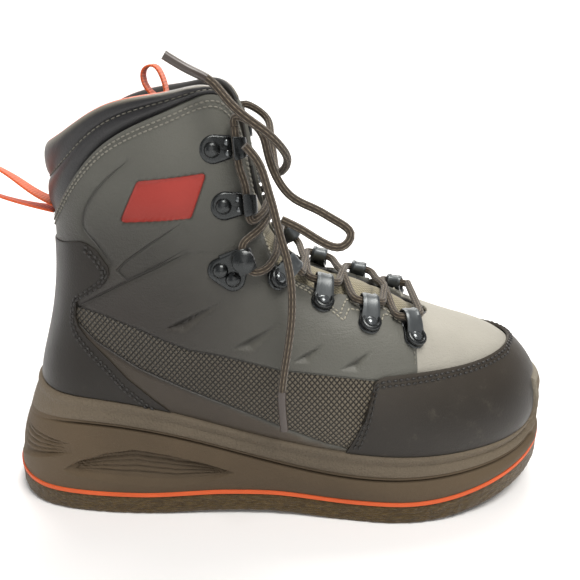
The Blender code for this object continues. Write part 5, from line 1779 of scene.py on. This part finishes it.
class BOOT_OT_hardware(bpy.types.Operator):
    """Lace loops, hooks and lock hooks with their plates and rivets"""

    bl_idname = "boot.hardware"
    bl_label = "Hardware"

    def execute(self, context):
        dark, strap, bright = gunmetal(), strap_metal(), silver()
        kinds = {
            "loop": loop_parts(dark, strap, bright), "hook": hook_parts(dark, bright), "lock": lock_parts(dark),
        }
        for name, kind, seat in hardware_places():
            solids = []
            for number, (rings, finish) in enumerate(kinds[kind]):
                points = seated(rings.reshape(-1, 3), seat).reshape(rings.shape)
                solid = close_up(lattice(f"{name}_{number}", points))
                solid.data.materials.append(finish)
                solids.append(smooth(solid, 40))
            pick(*solids)
            bpy.ops.object.join()
            piece = bpy.context.object
            piece.name = piece.data.name = f"{name}_metal"
            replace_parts(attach(piece, "root"), name)
        return {"FINISHED"}


class BOOT_OT_lace(bpy.types.Operator):
    """The lace through loops and hooks, its bow, its two ends and their tips"""

    bl_idname = "boot.lace"
    bl_label = "Lace"

    def execute(self, context):
        braid = lace_braid()
        tip = plain_finish("lace_tip", (58, 48, 42), 0.32, relief=0.02, coat=0.5)
        radius = context.scene.boot_sizes.lace_radius / MM
        routes = lace_routes()
        for name, route in zip(("lace_first_half", "lace_second_half"), routes):
            piece = tube(name, softened(route), radius)
            dress(piece, braid, "lace", "lace_crossings")
        medial, lateral = routes
        for name, points, half, far_end in (
            ("lace_bow_loop", BOW_LOOP, lateral, "object"),
            ("lace_end_up", END_UP, medial, "bare"),
            ("lace_end_down", END_DOWN, None, "bare"),
        ):
            if half is None:
                line = smooth_route(np.array(points) * SCALE, 2.2)
            else:
                onward = (half[-1] - half[-2]) / np.linalg.norm(half[-1] - half[-2])
                start = half[-1] + onward * GAP
                line = smooth_route([start, start + onward * 3, *np.array(points) * SCALE], 2.2)
            piece = dress(tube(f"{name}_cord", line, radius), braid, "lace", name)
            if far_end == "bare":
                cap = tube(f"{name}_tip", line[-11:], radius + 0.12, steps=19)
                dress(cap, tip, "lace")
        return {"FINISHED"}


class BOOT_OT_pull_loops(bpy.types.Operator):
    """Bright webbing loops at the heel and on the tongue"""

    bl_idname = "boot.pull_loops"
    bl_label = "Pull loops"

    def execute(self, context):
        cloth = webbing_cloth()
        heel = ((-8.3, 0, 165.4), (-24, 0, 168.5), (-42, 0, 174), (-58, 0, 182), (-65, 0, 190),
                (-61, 0, 197), (-46, 0, 193), (-30, 0, 183), (-18, 0, 174), (-8.3, 0, 169.0))
        top = ((50, 2, 224.6), (45.5, 2, 229), (43.5, 2, 234), (45, 2, 239.5), (49.5, 2, 240.5), (53, 2, 236),
               (54.5, 2, 231), (55.2, 2, 225.2))
        for name, route, width, thickness, twist in (
            ("heel_pull_loop", heel, 15.0, 1.4, 20.0), ("tongue_pull_loop", top, 13.0, 1.3, 0.0),
        ):
            line = smooth_route(np.array(route) * SCALE, 1.3)
            tangent = np.gradient(line, axis=0)
            tangent /= np.linalg.norm(tangent, axis=1, keepdims=True)
            a, b = rounded_box(width, thickness, 41)
            rings = []
            for place, way, share in zip(line, tangent, np.linspace(-1, 1, len(line))):
                turn = math.radians(twist) * (1 - share**2)
                side = np.array([0, math.cos(turn), -math.sin(turn)])
                side -= way * side.dot(way)
                side /= np.linalg.norm(side)
                rings.append(place + np.outer(a, side) + np.outer(b, np.cross(way, side)))
            first, last = np.repeat(line[:1], len(a), 0), np.repeat(line[-1:], len(a), 0)
            piece = lattice(f"{name}_webbing", np.array([first, *rings, last]))
            length = np.linalg.norm(np.diff(line, axis=0), axis=1).sum()
            stretch_uv(piece, 2 * width / 1.6, length / 1.5)
            dress(smooth(close_up(piece), 50), cloth, "orange_webbing", name)
        return {"FINISHED"}


class BOOT_OT_stitches(bpy.types.Operator):
    """Rows of stitches on the quarters, rand, counter and collar"""

    bl_idname = "boot.stitches"
    bl_label = "Stitches"

    def execute(self, context):
        pale = plain_finish("pale_thread", (120, 118, 109), 0.7, relief=0.1)
        bright = plain_finish("bright_thread", (158, 154, 140), 0.7, relief=0.1)
        dark = plain_finish("dark_thread", (34, 32, 30), 0.45, relief=0.1)
        pitch = context.scene.boot_sizes.stitch_pitch / MM
        edge = np.array([locate(x, z) for x, z in COUNTER_SIDE])
        u_grid, v_grid = rand_grid(RAND_ROWS, RAND_COLUMNS)
        lift = OVERLAY_GAP + RAND_THICKNESS + 0.15
        for side, word in ((-1, "lateral"), (1, "medial")):
            for i, deep in enumerate((2.6, 5.2)):
                u = np.linspace(station(0.1), station(8.3), 420)
                drop = np.maximum(along(COLLAR_DROP, u), 0)
                wide = NOTCH_HALF * (1.5 + 0.3 * i)
                notch = sum((NOTCH_DEPTH + 7 + i) * np.clip(1 - np.abs(u - n) / wide, 0, 1) for n in NOTCHES)
                v = v_below_top(u, drop + notch + deep)
                quarter = u < station(4.6)
                throat = ~quarter & (last_point(u, v)[:, 0] < VAMP_SEAM - 3 - i * 2)
                for part, keep, finish in (("quarter", quarter, pale), ("throat", throat, bright)):
                    row_u, row_v = u[keep], v[keep]
                    stitch_row(
                        f"{part}_stitches_{word}_{i + 1}", on_side(row_u, side), row_v,
                        raised_at(row_u, row_v) + 0.2, finish, "upper_leather", pitch * 0.9, 0.5,
                    )
            for i, inward in enumerate((2.2, 4.4)):
                column = 3 + 3 * i
                last_row = RAND_ROWS - 1
                row = last_row - inward / RAND_WIDTH * last_row
                low = int(row)
                columns = np.arange(column, RAND_COLUMNS // 2)
                u = u_grid[columns, low] + (u_grid[columns, low + 1] - u_grid[columns, low]) * (row - low)
                v = v_grid[columns, low] + (v_grid[columns, low + 1] - v_grid[columns, low]) * (row - low)
                rear = np.arange(2, low)
                u = np.concatenate([u_grid[column, rear], u])
                v = np.concatenate([v_grid[column, rear], v])
                row_name = f"rand_stitches_{word}_{i + 1}"
                stitch_row(row_name, on_side(u, side), v, lift, dark, "rand_leather", pitch * 1.1, 0.68)
            for i, inward in enumerate((2.3, 4.6)):
                share = np.linspace(0, 1, 120)
                corners = np.linspace(0, 1, len(edge))
                line = np.column_stack([np.interp(share, corners, edge[:, k]) for k in (0, 1)])
                away = np.gradient(line * (U_LENGTH, V_LENGTH), axis=0)
                away /= np.linalg.norm(away, axis=1, keepdims=True)
                u = line[:, 0] - away[:, 1] * inward / U_LENGTH
                v = line[:, 1] + away[:, 0] * inward / V_LENGTH
                keep = (v < edge[:, 1].max() - 0.008 - i * 0.010) & (u > 0)
                stitch_row(
                    f"counter_stitches_{word}_{i + 1}", on_side(u[keep], side), v[keep], lift,
                    dark, "rand_leather", pitch * 1.1, 0.68,
                )
            u = np.linspace(station(0.1), station(3.7), 200)
            start = v_below_top(u, np.maximum(along(COLLAR_DROP, u), 0) - 0.45)
            pad = smooth_step(along(COLLAR_DROP, u), 0, 12)
            stitch_row(
                f"collar_stitches_{word}", on_side(u, side), start + (1 - start) * 0.545, 1.15 * pad,
                pale, "collar_leather", pitch, 0.36,
            )
            seam = [locate(VAMP_SEAM - 1.8, z) for z in np.linspace(90, 104, 12)]
            u, v = np.array(seam).T
            stitch_row(
                f"vamp_stitches_{word}", on_side(u, side), v, raised_at(u, v) + 0.15,
                pale, "upper_leather", pitch * 0.8, 0.3,
            )
        return {"FINISHED"}


class BOOT_OT_stage(bpy.types.Operator):
    """Pale floor, soft lights and the camera at the photograph's angle"""

    bl_idname = "boot.stage"
    bl_label = "Stage"

    def execute(self, context):
        bpy.ops.object.select_all(action="DESELECT")
        angle = np.linspace(0, math.pi / 2, 16)
        start, bend = 1.6, 1.2
        cove = [(start + bend * math.sin(a), bend - bend * math.cos(a)) for a in angle[1:]]
        profile = [(-6.0, 0.0), (start, 0.0), *cove, (2.8, 5.0)]
        floor = lattice("floor", np.array([[(x, y, z) for x in (-6.0, 6.0)] for y, z in profile]) / MM)
        smooth(floor, 80)
        looks = Looks("pale_floor")
        floor.data.materials.append(looks.finish(srgb(250, 250, 251), 0.9, specular=0.1))
        pitch, yaw = 0.343, 0.014
        bpy.ops.object.camera_add(location=(0.1144, -0.3842, 0.2545), rotation=(math.pi / 2 - pitch, 0, -yaw))
        camera = context.object
        camera.data.lens, camera.data.sensor_width = 44.0, 36.0
        camera.data.clip_start = 0.01
        context.scene.camera = camera
        for name, place, size, power in (
            ("key_light", (0.50, -0.55, 1.25), 0.6, 15.0),
            ("front_light", (0.45, -1.4, 0.5), 1.0, 3.0),
            ("back_light", (0.2, 0.9, 1.0), 1.2, 8.0),
            ("heel_light", (-1.1, -0.55, 0.35), 0.6, 1.6),
            ("backdrop_light", (0.1, 1.0, 2.2), 1.5, 60.0),
        ):
            target = (0.1, 2.6, 0.6) if name == "backdrop_light" else (0.1, 0, 0.1)
            aim = (Vector(target) - Vector(place)).to_track_quat("-Z", "Y").to_euler()
            bpy.ops.object.light_add(type="AREA", location=place, rotation=aim)
            light = context.object
            light.name = name
            light.data.size, light.data.energy = size, power
            light.data.color = (1.0, 0.97, 0.92)
        world = bpy.data.worlds.new("studio")
        world.use_nodes = True
        world.node_tree.nodes["Background"].inputs["Color"].default_value = srgb(240, 240, 242)
        world.node_tree.nodes["Background"].inputs["Strength"].default_value = 0.38
        context.scene.world = world
        context.scene.view_settings.view_transform = "Standard"
        return {"FINISHED"}


STEPS = (
    BOOT_OT_stage, BOOT_OT_sole, BOOT_OT_midsole, BOOT_OT_upper, BOOT_OT_collar, BOOT_OT_overlays,
    BOOT_OT_tongue, BOOT_OT_hardware, BOOT_OT_lace, BOOT_OT_pull_loops, BOOT_OT_stitches,
)


class BOOT_PT_panel(bpy.types.Panel):
    """Lists the boot's sizes, colours and pieces."""

    bl_idname = "BOOT_PT_panel"
    bl_label = "Wading boot"
    bl_space_type = "VIEW_3D"
    bl_region_type = "UI"
    bl_category = "Boot"

    def draw(self, context):
        for group in (context.scene.boot_sizes, context.scene.boot_colours):
            for name in group.__annotations__:
                self.layout.prop(group, name)
        for step in STEPS:
            self.layout.operator(step.bl_idname)


CLASSES = (BOOT_PG_colours, BOOT_PG_sizes, *STEPS, BOOT_PT_panel)


def register():
    for made in CLASSES:
        bpy.utils.register_class(made)
    bpy.types.Scene.boot_colours = bpy.props.PointerProperty(type=BOOT_PG_colours)
    bpy.types.Scene.boot_sizes = bpy.props.PointerProperty(type=BOOT_PG_sizes)


def unregister():
    del bpy.types.Scene.boot_sizes
    del bpy.types.Scene.boot_colours
    for made in reversed(CLASSES):
        bpy.utils.unregister_class(made)


def main():
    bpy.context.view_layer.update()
    register()
    for step in STEPS:
        group, name = step.bl_idname.split(".")
        getattr(getattr(bpy.ops, group), name)()


if __name__ == "__main__":
    main()
